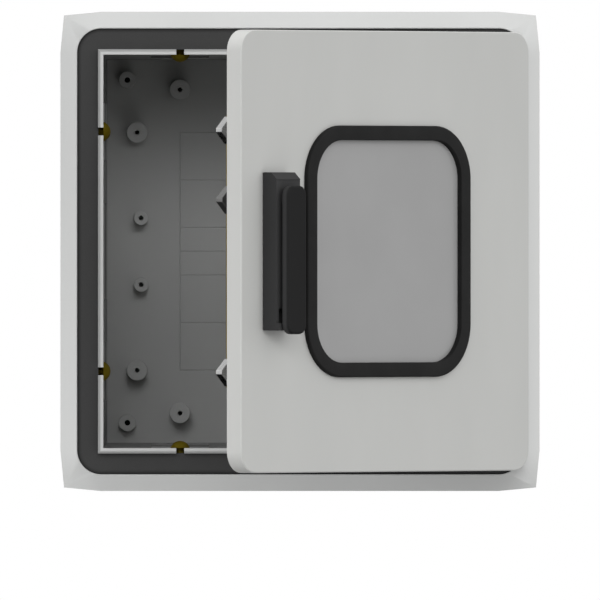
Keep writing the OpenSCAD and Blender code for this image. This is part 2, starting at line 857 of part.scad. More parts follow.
module cam_tongue() {
    color(grey_c) on_door() above_door(cam_back) difference() {
        union() {
            translate([0, spindle_v, 0]) linear_extrude(tongue_t) nose_outline(tongue_half, spindle_x);
            translate([spindle_x, spindle_v, 0]) cylinder(r = cam_hub_r, h = tongue_t);
            translate([spindle_x + crank, spindle_v - crank, 0]) cylinder(r = cam_lobe_r, h = tongue_t);
        }
        translate([spindle_x, spindle_v, 0]) {
            translate([-square_w / 2, -square_w / 2, 0]) cube([square_w, square_w, tongue_t + over]);
            translate([0, 0, -over]) cylinder(r = cam_screw_head_r + lay_gap, h = cam_recess + over);
        }
        translate([spindle_x + crank, spindle_v - crank, -over])
            cylinder(d = drive_pin_d, h = tongue_t + 2 * over);
    }
}

module drive_pin() {
    color(steel_c) on_door() at_spindle(bar_back - over) translate([crank, -crank, 0])
        cylinder(d = drive_pin_d, h = cam_front - bar_back + over);
}

module cam_screw() {
    color(steel_c) on_door() at_spindle(cam_back + cam_recess) {
        cylinder(d = cam_screw_d, h = cam_screw_l);
        translate([0, 0, -cam_screw_head_h]) cylinder(r = cam_screw_head_r, h = cam_screw_head_h);
    }
}

module lever_pin() {
    pin_l = lever_w - 2 * lever_cheek - lay_gap;
    color(steel_c) on_door() above_door(lever_pin_n) translate([spindle_x - pin_l / 2, lever_pin_v, 0])
        rotate([0, 90, 0]) cylinder(d = lever_pin_d, h = pin_l);
}

module lever() {
    slot_w = lug_w + 2 * lug_gap;
    slot_top = lever_pin_n + lug_r + lug_gap;
    slot_v = spindle_v - hub_d / 3;
    color(black_c) on_door() above_door(0) translate([spindle_x, 0, 0]) difference() {
        translate([0, lever_end - lever_l / 2, lever_low])
            rounded_plate(lever_w, lever_l, lever_r, lever_t, lever_edge_r, lever_edge_r);
        translate([-slot_w / 2, slot_v, lever_low - over])
            cube([slot_w, lever_end - slot_v + over, slot_top - lever_low + over]);
        translate([-lever_w / 2 + lever_cheek, lever_pin_v, lever_pin_n]) rotate([0, 90, 0])
            cylinder(d = lever_pin_d + run_gap, h = lever_w - 2 * lever_cheek);
    }
}

module latch_bar() {
    slot_d = shoulder_d + 2 * run_gap;
    slot_h = drive_pin_d + 2 * drive_gap;
    slot_from = spindle_x + crank - drive_pin_d / 2 - drive_gap;
    slot_to = spindle_x + crank_r + drive_pin_d / 2 + drive_gap;
    bar_half = tongue_v + tongue_half + 1;
    color(olive_c) on_door() above_door(bar_back) difference() {
        translate([bar_x, -bar_half, 0]) cube([bar_w, 2 * bar_half, bar_t]);
        translate([slot_from, spindle_v - crank - slot_h / 2, -over])
            cube([slot_to - slot_from, slot_h, bar_t + 2 * over]);
        for (v = guide_v)
            upright_slot(guide_x, v - bar_travel - run_gap, v + run_gap, slot_d, -over, bar_t + over);
        for (s = [-1, 1], x = rivet_x) translate([x, s * tongue_v, -over])
            cylinder(d = rivet_d, h = bar_t + 2 * over);
    }
}

module tongue(side) {
    color(grey_c) on_door() above_door(bar_front) difference() {
        translate([0, side * tongue_v, 0]) linear_extrude(tongue_t) nose_outline(tongue_half, tongue_back_x);
        for (x = rivet_x) translate([x, side * tongue_v, -over])
            cylinder(d = rivet_d, h = tongue_t + 2 * over);
    }
}

module upper_tongue() {
    tongue(1);
}

module lower_tongue() {
    tongue(-1);
}

module rivet() {
    grip = bar_t + tongue_t;
    cylinder(d = rivet_d, h = grip);
    translate([0, 0, grip]) dome(rivet_d * 0.8, rivet_head_t);
    rotate([180, 0, 0]) dome(rivet_d * 0.8, rivet_head_t);
}

module tongue_rivets() {
    color(steel_c) on_door() above_door(bar_back) for (s = [-1, 1], x = rivet_x)
        translate([x, s * tongue_v, 0]) rivet();
}

base_tub();
frame_gasket();
anchor_studs();
hinge_brackets();
hinge_pins();
door_panel();
window_seal();
window_pane();
hinge_leaves();
hinge_leaf_screws();
handle_base();
handle_seal();
handle_screws();
spindle_bush();
bar_guide_screws();
handle_hub();
spindle();
cam_tongue();
drive_pin();
cam_screw();
lever_pin();
lever();
latch_bar();
upper_tongue();
lower_tongue();
tongue_rivets();
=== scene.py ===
"""Dresses a wall-hung moulded enclosure with a hinged window door and a swing handle.

The frame's axes hold throughout: x to the right, y into the wall, z up the wall, in metres. The door is
shown open, so the window's seal is first drawn on the door's own plane and then laid on the open door.
"""

import json
import logging
import math
from dataclasses import dataclass, replace
from enum import Enum
from typing import Any

import bmesh
import bpy
from mathutils import Matrix, Vector

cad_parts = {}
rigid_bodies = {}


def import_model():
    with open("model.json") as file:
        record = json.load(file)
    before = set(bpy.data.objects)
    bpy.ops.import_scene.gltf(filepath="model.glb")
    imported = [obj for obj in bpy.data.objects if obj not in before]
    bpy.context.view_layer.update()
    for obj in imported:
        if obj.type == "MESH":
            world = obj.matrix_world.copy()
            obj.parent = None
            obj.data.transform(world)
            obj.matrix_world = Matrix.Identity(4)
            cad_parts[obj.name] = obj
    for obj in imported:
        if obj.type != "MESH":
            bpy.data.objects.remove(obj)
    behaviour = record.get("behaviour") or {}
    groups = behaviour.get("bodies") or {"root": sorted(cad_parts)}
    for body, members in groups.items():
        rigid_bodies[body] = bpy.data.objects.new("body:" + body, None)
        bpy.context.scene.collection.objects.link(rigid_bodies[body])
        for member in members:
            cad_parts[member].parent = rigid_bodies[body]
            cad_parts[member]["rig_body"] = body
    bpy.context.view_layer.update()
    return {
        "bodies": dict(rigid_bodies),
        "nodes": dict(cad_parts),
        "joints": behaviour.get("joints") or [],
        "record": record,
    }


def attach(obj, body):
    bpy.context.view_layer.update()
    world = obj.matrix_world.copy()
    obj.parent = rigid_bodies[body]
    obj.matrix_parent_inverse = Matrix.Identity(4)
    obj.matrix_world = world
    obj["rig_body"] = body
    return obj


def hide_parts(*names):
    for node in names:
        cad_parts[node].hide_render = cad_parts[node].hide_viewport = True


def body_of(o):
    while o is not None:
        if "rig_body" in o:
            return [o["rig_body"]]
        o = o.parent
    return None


LOG = logging.getLogger("enclosure")
MM = 0.001
MERGE_DIST = 0.002 * MM
ROUNDING = 0.01 * MM
FLAT_ANGLE = math.radians(0.15)
SHARP_ANGLE = math.radians(36)
SORT_DIGITS = 5

Colour = tuple[float, float, float]
Place = tuple[float, float, float]
Point = tuple[float, float]
Frame = dict[str, Any]

UP = Vector((0.0, 0.0, 1.0))
UPRIGHT_SHARE = 0.99
WHITE = (1.0, 1.0, 1.0, 1.0)


class Shade:
    """A node's output that takes part in Python sums, each sum adding a Math node."""

    def __init__(self, sheet: "NodeSheet", socket: bpy.types.NodeSocket) -> None:
        """Keeps the sheet that the socket is on, and the socket."""
        self.sheet = sheet
        self.socket = socket

    def _math(self, operation: str, first: "Shade | float", second: "Shade | float") -> "Shade":
        """Adds a Math node.

        Args:
            operation: What the node works out.
            first: The first term.
            second: The second term.

        Returns:
            The node's result.
        """
        return self.sheet.node("ShaderNodeMath", {"operation": operation}, {0: first, 1: second})

    def __add__(self, other: "Shade | float") -> "Shade":
        """Adds."""
        return self._math("ADD", self, other)

    def __radd__(self, other: float) -> "Shade":
        """Adds to a number."""
        return self._math("ADD", other, self)

    def __sub__(self, other: "Shade | float") -> "Shade":
        """Takes away."""
        return self._math("SUBTRACT", self, other)

    def __rsub__(self, other: float) -> "Shade":
        """Takes away from a number."""
        return self._math("SUBTRACT", other, self)

    def __mul__(self, other: "Shade | float") -> "Shade":
        """Multiplies."""
        return self._math("MULTIPLY", self, other)

    def __rmul__(self, other: float) -> "Shade":
        """Multiplies a number."""
        return self._math("MULTIPLY", other, self)

    def __truediv__(self, other: "Shade | float") -> "Shade":
        """Divides."""
        return self._math("DIVIDE", self, other)

    def __rtruediv__(self, other: float) -> "Shade":
        """Divides a number."""
        return self._math("DIVIDE", other, self)

    def __pow__(self, other: "Shade | float") -> "Shade":
        """Raises to a power."""
        return self._math("POWER", self, other)

    def at_least(self, low: "Shade | float") -> "Shade":
        """Gives the larger of this and another."""
        return self._math("MAXIMUM", self, low)

    def size(self) -> "Shade":
        """Gives this without its sign."""
        return self.at_least(0 - self)

    def above(self, low: float) -> "Shade":
        """Gives 1 where this is above a number, and else 0."""
        return self._math("GREATER_THAN", self, low)

    def also(self, output: str | int) -> "Shade":
        """Gives another output of the same node."""
        return Shade(self.sheet, self.socket.node.outputs[output])


class NodeSheet:
    """A node tree whose nodes all come from one method."""

    def __init__(self, tree: bpy.types.NodeTree) -> None:
        """Keeps the tree."""
        self.tree = tree

    def node(
        self,
        kind: str,
        settings: dict[str, Any] | None = None,
        inputs: dict[str | int, Any] | None = None,
        output: str | int = 0,
    ) -> Shade | None:
        """Adds a node.

        Args:
            kind: The node's type.
            settings: The node's own settings, set first.
            inputs: Values or links of its sockets, by name or number; a list links several to one socket.
            output: The output to give back, by name or number.

        Returns:
            The chosen output, or None for a node without outputs.
        """
        made = self.tree.nodes.new(kind)
        for name, value in (settings or {}).items():
            setattr(made, name, value)
        for name, value in (inputs or {}).items():
            socket = made.inputs[name]
            for term in value if isinstance(value, list) else [value]:
                if isinstance(term, Shade):
                    self.tree.links.new(term.socket, socket)
                else:
                    socket.default_value = term
        return Shade(self, made.outputs[output]) if len(made.outputs) else None


class ShaderSheet(NodeSheet):
    """A material's node tree, with the patterns that several finishes share."""

    def coords(self, stretch: Place = (1.0, 1.0, 1.0)) -> Shade:
        """Gives Object coordinates, stretched along the frame's axes."""
        place = self.node("ShaderNodeTexCoord", None, None, "Object")
        return self.node("ShaderNodeMapping", None, {"Vector": place, "Scale": stretch})

    def axes(self) -> tuple[Shade, Shade, Shade]:
        """Gives the x, y and z of the Object coordinates."""
        across = self.node("ShaderNodeSeparateXYZ", None, {"Vector": self.coords()})
        return across, across.also("Y"), across.also("Z")

    def noise(self, coords: Shade, size: float, detail: float = 2.0, rough: float = 0.5) -> Shade:
        """Adds a cloudy pattern.

        Args:
            coords: Where to read it.
            size: About the size of one cloud, in metres.
            detail: How many finer layers it has.
            rough: How strong the finer layers are.

        Returns:
            A value round one half.
        """
        sockets = {"Vector": coords, "Scale": 1.0 / size, "Detail": detail, "Roughness": rough}
        return self.node("ShaderNodeTexNoise", None, sockets, 0)

    def spread(self, value: Shade, low: float, high: float) -> Shade:
        """Spreads the part of a value from low to high over 0 to 1, with soft ends."""
        sockets = {"Value": value, "From Min": low, "From Max": high}
        return self.node("ShaderNodeMapRange", {"interpolation_type": "SMOOTHSTEP"}, sockets)

    def band(self, value: Shade, low: float, high: float, blur: float) -> Shade:
        """Gives 1 where a value lies between low and high and else 0, with soft ends inside the band."""
        return self.spread(value, low, low + blur) * (1 - self.spread(value, high - blur, high))

    def blend(self, share: Shade, first: Colour, second: Colour) -> Shade:
        """Mixes two colours.

        Args:
            share: How much of the second there is.
            first: The first colour.
            second: The second colour.

        Returns:
            The mixed colour.
        """
        settings = {"data_type": "RGBA", "blend_type": "MIX"}
        return self.node("ShaderNodeMix", settings, {0: share, 6: (*first, 1.0), 7: (*second, 1.0)}, 2)

    def mottle(self, share: Shade, colour: Colour, swing: float) -> Shade:
        """Mixes a darker and a lighter tone of a colour, which differ from it by a swing."""
        return self.blend(share, lit(colour, 1 - swing), lit(colour, 1 + swing))

    def toned(self, colour: Shade, where: Shade, tone: float) -> Shade:
        """Multiplies a colour by a tone, in places.

        Args:
            colour: The colour.
            where: 1 where it is toned and 0 where it stays.
            tone: What it is multiplied by.

        Returns:
            The toned colour.
        """
        settings = {"data_type": "RGBA", "blend_type": "MULTIPLY"}
        return self.node("ShaderNodeMix", settings, {0: where, 6: colour, 7: (tone, tone, tone, 1.0)}, 2)

    def bump(self, height: Shade, depth: float, strength: float) -> Shade:
        """Turns a height into a normal.

        Args:
            height: The height, round one half.
            depth: The height's real depth, in metres.
            strength: How much of it shows.

        Returns:
            The normal.
        """
        return self.node("ShaderNodeBump", None, {"Height": height, "Distance": depth, "Strength": strength})

    def surface(self, **sockets: Any) -> Shade:
        """Adds the surface shader, with each name's low lines read as spaces."""
        named = {name.replace("_", " "): value for name, value in sockets.items()}
        return self.node("ShaderNodeBsdfPrincipled", None, named)


def lit(colour: Colour, share: float) -> Colour:
    """Gives a colour made lighter or darker by a share."""
    return tuple(min(1.0, part * share) for part in colour)


@dataclass(frozen=True)
class Finish:
    """What every finish has: a name, the record's material slot and a colour."""

    name: str
    slot: str
    colour: Colour

    def material(self) -> bpy.types.Material:
        """Gives the finish's material, which is made when it is first asked for.

        Returns:
            The material.
        """
        made = bpy.data.materials.get(self.name)
        if made is None:
            made = bpy.data.materials.new(self.name)
            made.use_nodes = True
            made.node_tree.nodes.clear()
            sheet = ShaderSheet(made.node_tree)
            sheet.node("ShaderNodeOutputMaterial", None, {"Surface": self.shader(sheet)})
            made.diffuse_color = (*self.colour, 1.0)
        return made

    def shader(self, sheet: ShaderSheet) -> Shade:
        """Builds the finish's shader, which each kind of finish does in its own way."""
        raise NotImplementedError


@dataclass(frozen=True)
class Moulding(Finish):
    """Moulded plastic: fine eroded grain, faint flow clouds and a few handling scuffs."""

    roughness: float = 0.5
    flow: float = 60 * MM
    flow_stretch: Place = (1.0, 1.0, 0.35)
    scratch: float = 14 * MM
    scratch_stretch: Place = (1.0, 0.6, 9.0)
    scratch_span: Point = (0.62, 0.74)
    worn_span: Point = (0.45, 0.7)
    grain: float = 0.7 * MM
    grain_depth: float = 0.05 * MM
    pit_share: float = 0.4
    tone_span: Point = (0.3, 0.7)
    cloud: float = 0.02
    scuff: float = 0.06
    gloss: float = 0.35

    def shader(self, sheet: ShaderSheet) -> Shade:
        """Builds the plastic's shader.

        Args:
            sheet: The material's node tree.

        Returns:
            The surface shader.
        """
        coords = sheet.coords()
        flow = sheet.noise(sheet.coords(self.flow_stretch), self.flow, 3.0)
        grain = sheet.noise(coords, self.grain, 3.0, 0.6)
        pits = sheet.noise(coords, self.pit_share * self.grain, 1.0)
        scratch = sheet.noise(sheet.coords(self.scratch_stretch), self.scratch, 4.0, 0.7)
        scuffs = sheet.spread(scratch, *self.scratch_span) * sheet.spread(flow, *self.worn_span)
        tone = sheet.spread(flow * 0.8 + grain * 0.2, *self.tone_span)
        colour = sheet.mottle(tone, self.colour, self.cloud)
        colour = self.tint(sheet, colour)
        rough = self.roughness + (grain - 0.5) * 0.16 - scuffs * self.scuff + (flow - 0.5) * 0.06
        normal = sheet.bump(grain * 0.7 + pits * 0.3, self.grain_depth, 0.35)
        return sheet.surface(Base_Color=colour, Roughness=rough, Normal=normal, Specular_IOR_Level=self.gloss)

    def tint(self, sheet: ShaderSheet, colour: Shade) -> Shade:
        """Gives the plastic's colour as it is; some kinds of plastic paint shade on it here."""
        return colour


@dataclass(frozen=True)
class FacedMoulding(Moulding):
    """Moulded plastic whose outer face is given painted shade, so it looks darker than its edges."""

    outward: Place = (0.0, -1.0, 0.0)
    front: float = 0.0
    face_shade_tone: float = 0.8
    face_edge: float = 0.5 * MM
    face_full: float = 0.2

    def tint(self, sheet: ShaderSheet, colour: Shade) -> Shade:
        """Darkens the outer face with painted shade.

        Args:
            sheet: The material's node tree.
            colour: The plain plastic's colour.

        Returns:
            The colour with painted shade on its face.
        """
        # Painted shade: the face's colour is multiplied down, as if less light fell on it.
        height = sum(part * share for part, share in zip(sheet.axes(), self.outward))
        full = self.front - self.face_full * self.face_edge
        shaded_face = sheet.spread(height, self.front - self.face_edge, full)
        return sheet.toned(colour, shaded_face, self.face_shade_tone)


@dataclass(frozen=True)
class LinedMoulding(Moulding):
    """Moulded plastic of a tub with painted shade: darker inside, darker still on its walls and the tops of
    the pads on them, and darker along the collar's outer edge.

    floor, inside and collar are measured out from the middle, shade_front and ledge along y.
    """

    floor: float = 0.0
    inside: float = 0.0
    shade_front: float = 0.0
    collar: float = 0.0
    ledge: float = 0.0
    ledge_wide: float = 1.9 * MM
    inside_shade_tone: float = 0.69
    wall_shade_tone: float = 0.6
    ledge_shade_tone: float = 0.3
    collar_shade_tone: float = 0.52
    collar_shade_in: float = 2.8 * MM
    collar_shade_full: float = 1.12 * MM
    collar_shade_out: float = 1.4 * MM
    collar_shade_depth: float = 16 * MM
    collar_shade_fade: float = 1.6 * MM
    blur: float = 0.3 * MM

    def tint(self, sheet: ShaderSheet, colour: Shade) -> Shade:
        """Paints shade on the tub's inside, its walls, the tops of the pads on them and the collar's outer
        edge.

        Args:
            sheet: The material's node tree.
            colour: The plain plastic's colour.

        Returns:
            The colour with its painted shade.
        """
        x, depth, z = sheet.axes()
        reach = x.size().at_least(z.size())
        blur = self.blur
        # Painted shade over the tub's inside, where little light reaches.
        shaded_inside = 1 - sheet.spread(reach, self.inside - blur, self.inside + blur)
        shaded_inside = shaded_inside * sheet.spread(depth, self.shade_front - blur, self.shade_front + blur)
        # Deeper painted shade on the tub's walls.
        walls = shaded_inside * sheet.spread(reach, self.floor - 2 * blur, self.floor - blur)
        # Painted shade on the tops of the pads.
        shaded_ledges = sheet.band(reach, self.floor, self.floor + self.ledge_wide, blur)
        shaded_ledges = shaded_ledges * sheet.band(depth, self.ledge - 2 * blur, self.ledge + 2 * blur, blur)
        # Painted shade along the collar's outer rounding, beside the dark channel.
        collar_shade_end = self.shade_front + self.collar_shade_depth
        shaded_collar = sheet.spread(reach, self.collar - self.collar_shade_in, self.collar - self.collar_shade_full)
        shaded_collar = shaded_collar * (1 - sheet.spread(reach, self.collar + self.collar_shade_full, self.collar + self.collar_shade_out))
        shaded_collar = shaded_collar * (1 - sheet.spread(depth, collar_shade_end, collar_shade_end + self.collar_shade_fade))
        places = (shaded_inside, walls, shaded_ledges, shaded_collar)
        for where, tone in zip(places, (self.inside_shade_tone, self.wall_shade_tone, self.ledge_shade_tone, self.collar_shade_tone)):
            colour = sheet.toned(colour, where, tone)
        return colour


@dataclass(frozen=True)
class FoamRubber(Finish):
    """Poured foam seal: closed cells under a dull skin, with painted shade along its outer edge beside the
    lip.

    outer is half the side of the frame's seal, and corner the radius of its outer corners.
    """

    cloud: float = 0.14
    cell: float = 1.1 * MM
    cell_span: Point = (0.05, 0.5)
    skin: float = 9 * MM
    depth: float = 0.25 * MM
    roughness: float = 0.85
    outer: float = 185.8 * MM
    corner: float = 19.8 * MM
    edge_shade: float = 4 * MM
    edge_shade_tone: float = 0.36
    gloss: float = 0.25

    def shader(self, sheet: ShaderSheet) -> Shade:
        """Builds the foam's shader.

        Args:
            sheet: The material's node tree.

        Returns:
            The surface shader.
        """
        coords = sheet.coords()
        sockets = {"Vector": coords, "Scale": 1.0 / self.cell}
        cells = sheet.node("ShaderNodeTexVoronoi", None, sockets, "Distance")
        skin = sheet.noise(coords, self.skin, 4.0)
        open_cells = 1 - sheet.spread(cells, *self.cell_span)
        tone = skin * 0.7 + open_cells * 0.3
        colour = sheet.mottle(tone, self.colour, self.cloud)
        # Painted shade along the seal's outer edge.
        colour = sheet.toned(colour, self._shaded_edge(sheet), self.edge_shade_tone)
        rough = self.roughness + (skin - 0.5) * 0.2
        normal = sheet.bump(skin * 0.5 - open_cells * 0.5, self.depth, 0.4)
        return sheet.surface(Base_Color=colour, Roughness=rough, Normal=normal, Specular_IOR_Level=self.gloss)

    def _shaded_edge(self, sheet: ShaderSheet) -> Shade:
        """Finds the outer edge of the seal, a square with rounded corners, which gets painted shade.

        Args:
            sheet: The material's node tree.

        Returns:
            1 at the outer edge, 0 further in.
        """
        core = self.outer - self.corner
        x, _, z = sheet.axes()
        right, up = ((part.size() - core).at_least(0.0) for part in (x, z))
        out = (right * right + up * up) ** 0.5
        return sheet.spread(out, self.corner - self.edge_shade, self.corner)


@dataclass(frozen=True)
class DrawnRubber(Finish):
    """Extruded rubber profile: dull, with a faint bloom and fine draw lines."""

    roughness: float = 0.62
    bloom: float = 25 * MM
    bloom_span: Point = (0.35, 0.75)
    bloom_tone: float = 1.3
    line: float = 0.8 * MM
    depth: float = 0.06 * MM
    gloss: float = 0.08

    def shader(self, sheet: ShaderSheet) -> Shade:
        """Builds the rubber's shader.

        Args:
            sheet: The material's node tree.

        Returns:
            The surface shader.
        """
        coords = sheet.coords()
        bloom = sheet.noise(coords, self.bloom, 4.0, 0.6)
        fine = sheet.noise(coords, self.line, 2.0)
        pale = lit(self.colour, self.bloom_tone)
        colour = sheet.blend(sheet.spread(bloom, *self.bloom_span), self.colour, pale)
        rough = self.roughness + (bloom - 0.5) * 0.15 + (fine - 0.5) * 0.1
        normal = sheet.bump(fine, self.depth, 0.3)
        return sheet.surface(Base_Color=colour, Roughness=rough, Normal=normal, Specular_IOR_Level=self.gloss)


@dataclass(frozen=True)
class Zinc(Finish):
    """Zinc plating: fine crystal mottling, tinted where it was passivated, with drawn or turned lines."""

    tint: Colour
    roughness: float
    metallic: float
    spangle: float = 2.2 * MM
    stain: float = 11 * MM
    stain_span: Point = (0.35, 0.7)
    line: float = 6 * MM
    line_stretch: Place = (14.0, 14.0, 0.6)
    depth: float = 0.03 * MM
    gloss: float = 0.5

    def shader(self, sheet: ShaderSheet) -> Shade:
        """Builds the plating's shader.

        Args:
            sheet: The material's node tree.

        Returns:
            The surface shader.
        """
        coords = sheet.coords()
        crystals = sheet.noise(coords, self.spangle, 3.0, 0.65)
        stain = sheet.noise(coords, self.stain, 3.0)
        lines = sheet.noise(sheet.coords(self.line_stretch), self.line, 2.0)
        colour = sheet.blend(sheet.spread(stain, *self.stain_span), self.colour, self.tint)
        rough = self.roughness + (crystals - 0.5) * 0.25 + (lines - 0.5) * 0.15
        normal = sheet.bump(crystals * 0.6 + lines * 0.4, self.depth, 0.3)
        constants = {"Metallic": self.metallic, "Specular_IOR_Level": self.gloss}
        return sheet.surface(Base_Color=colour, Roughness=rough, Normal=normal, **constants)


@dataclass(frozen=True)
class FrostedPane(Finish):
    """Frosted plastic pane: fine etched bloom under a smooth face."""

    roughness: float = 0.38
    cloud: float = 0.03
    tone_span: Point = (0.3, 0.7)
    bloom: float = 70 * MM
    frost: float = 0.9 * MM
    depth: float = 0.02 * MM
    coat: float = 0.15

    def shader(self, sheet: ShaderSheet) -> Shade:
        """Builds the pane's shader.

        Args:
            sheet: The material's node tree.

        Returns:
            The surface shader.
        """
        coords = sheet.coords()
        bloom = sheet.noise(coords, self.bloom, 3.0)
        frost = sheet.noise(coords, self.frost, 2.0)
        tone = sheet.spread(bloom * 0.8 + frost * 0.2, *self.tone_span)
        colour = sheet.mottle(tone, self.colour, self.cloud)
        rough = self.roughness + (frost - 0.5) * 0.14 + (bloom - 0.5) * 0.06
        normal = sheet.bump(frost, self.depth, 0.25)
        return sheet.surface(Base_Color=colour, Roughness=rough, Normal=normal, Coat_Weight=self.coat)


@dataclass(frozen=True)
class Paper(Finish):
    """Pale studio floor with a faint tooth."""

    tooth: float = 4 * MM
    tooth_tone: float = 0.985
    roughness: float = 0.9
    gloss: float = 0.1

    def shader(self, sheet: ShaderSheet) -> Shade:
        """Builds the floor's shader.

        Args:
            sheet: The material's node tree.

        Returns:
            The surface shader.
        """
        tooth = sheet.noise(sheet.coords(), self.tooth, 3.0)
        colour = sheet.blend(tooth, lit(self.colour, self.tooth_tone), self.colour)
        return sheet.surface(Base_Color=colour, Roughness=self.roughness, Specular_IOR_Level=self.gloss)


GREY = Moulding("grey_moulding", "grey_plastic", (0.498, 0.503, 0.498))
TONGUE = Zinc("cast_zinc", "tongue_metal", (0.29, 0.292, 0.292), (0.33, 0.33, 0.325), 0.28, metallic=1.0)
# The cam is the tongues' zinc made darker: painted shade, as it sits deeper behind the door.
CAM = replace(
    TONGUE, name="cam_zinc_shaded", colour=(0.13, 0.13, 0.128), tint=(0.16, 0.16, 0.157), roughness=0.5
)
BLACK = Moulding(
    "black_moulding", "black_plastic", (0.036, 0.036, 0.0365), roughness=0.6, cloud=0.08, gloss=0.08
)
# The lever's black plastic, with painted shade on its front face.
LEVER = FacedMoulding(
    "lever_moulding",
    BLACK.slot,
    BLACK.colour,
    BLACK.roughness,
    cloud=BLACK.cloud,
    gloss=BLACK.gloss,
    face_shade_tone=0.3,
    face_edge=3 * MM,
)
FOAM = FoamRubber("seal_foam", "seal_rubber", (0.044, 0.044, 0.044))
RUBBER = DrawnRubber("window_rubber", "black_rubber", (0.0115, 0.0115, 0.0115))
OLIVE = Zinc(
    "olive_zinc", "olive_metal", (0.099, 0.072, 0.0028), (0.129, 0.097, 0.0072), 0.6, metallic=0.3, gloss=0.06
)
STEEL = Zinc("bright_zinc", "steel", (0.58, 0.59, 0.61), (0.64, 0.64, 0.63), 0.34, metallic=1.0)
PANE = FrostedPane("frosted_pane", "pane_plastic", (0.245, 0.245, 0.245))
PAPER = Paper("studio_floor", "", (0.86, 0.86, 0.85))


def new_object(name: str, mesh: bpy.types.Mesh) -> bpy.types.Object:
    """Puts a mesh in the scene at the origin.

    Args:
        name: The object's name.
        mesh: Its mesh.

    Returns:
        The object.
    """
    made = bpy.data.objects.new(name, mesh)
    bpy.context.scene.collection.objects.link(made)
    return made


def settle(piece: bpy.types.Object) -> None:
    """Turns a piece's modifiers into a plain mesh.

    Args:
        piece: The piece; its mesh is replaced and its modifiers are removed.
    """
    bpy.context.view_layer.update()
    graph = bpy.context.evaluated_depsgraph_get()
    old = piece.data
    plain = bpy.data.meshes.new_from_object(piece.evaluated_get(graph), depsgraph=graph)
    piece.modifiers.clear()
    piece.data = plain
    plain.name = piece.name
    bpy.data.meshes.remove(old)


def smooth_by_angle(mesh: bpy.types.Mesh) -> None:
    """Shades a mesh smooth, with its edges past the sharp angle kept sharp."""
    mesh.shade_smooth()
    mesh.set_sharp_from_angle(angle=SHARP_ANGLE)


@dataclass(frozen=True)
class EdgeBreak:
    """How a copied solid's sharp edges are broken: width, steps, and whether short edges hold it back."""

    width: float
    steps: int = 2
    held: bool = False


FINE = EdgeBreak(0.2 * MM)
SOFT = EdgeBreak(0.5 * MM)
HELD = EdgeBreak(0.35 * MM, held=True)


@dataclass
class DoorPlane:
    """The open door's own plane, with its origin in the middle of the door's front.

    Its x runs along the door to the hinge side, its y up and its z out of the door's front.
    """

    along: Vector
    outward: Vector
    origin: Vector

    @classmethod
    def of(cls, frame: Frame) -> "DoorPlane":
        """Reads the plane from the frame.

        Args:
            frame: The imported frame.

        Returns:
            The door's plane at rest.
        """
        axes = {joint["name"]: Vector(joint["axis"]) for joint in frame["joints"]}
        outward = axes["handle_turn"].normalized()
        along = axes["door_hinge"].normalized().cross(outward)
        corners = [vertex.co for vertex in frame["nodes"]["door_panel"].data.vertices]
        reach = [corner.dot(along) for corner in corners]
        front = max(corner.dot(outward) for corner in corners)
        return cls(along, outward, along * (min(reach) + max(reach)) / 2 + outward * front)

    def matrix(self) -> Matrix:
        """Gives the matrix that lays the door's plane on the open door."""
        turn = Matrix((self.along, UP, self.outward)).transposed().to_4x4()
        return Matrix.Translation(self.origin) @ turn


@dataclass
class Seat:
    """Where a fastener sits: the underside of its head, and the way that its head looks."""

    place: Vector
    axis: Vector


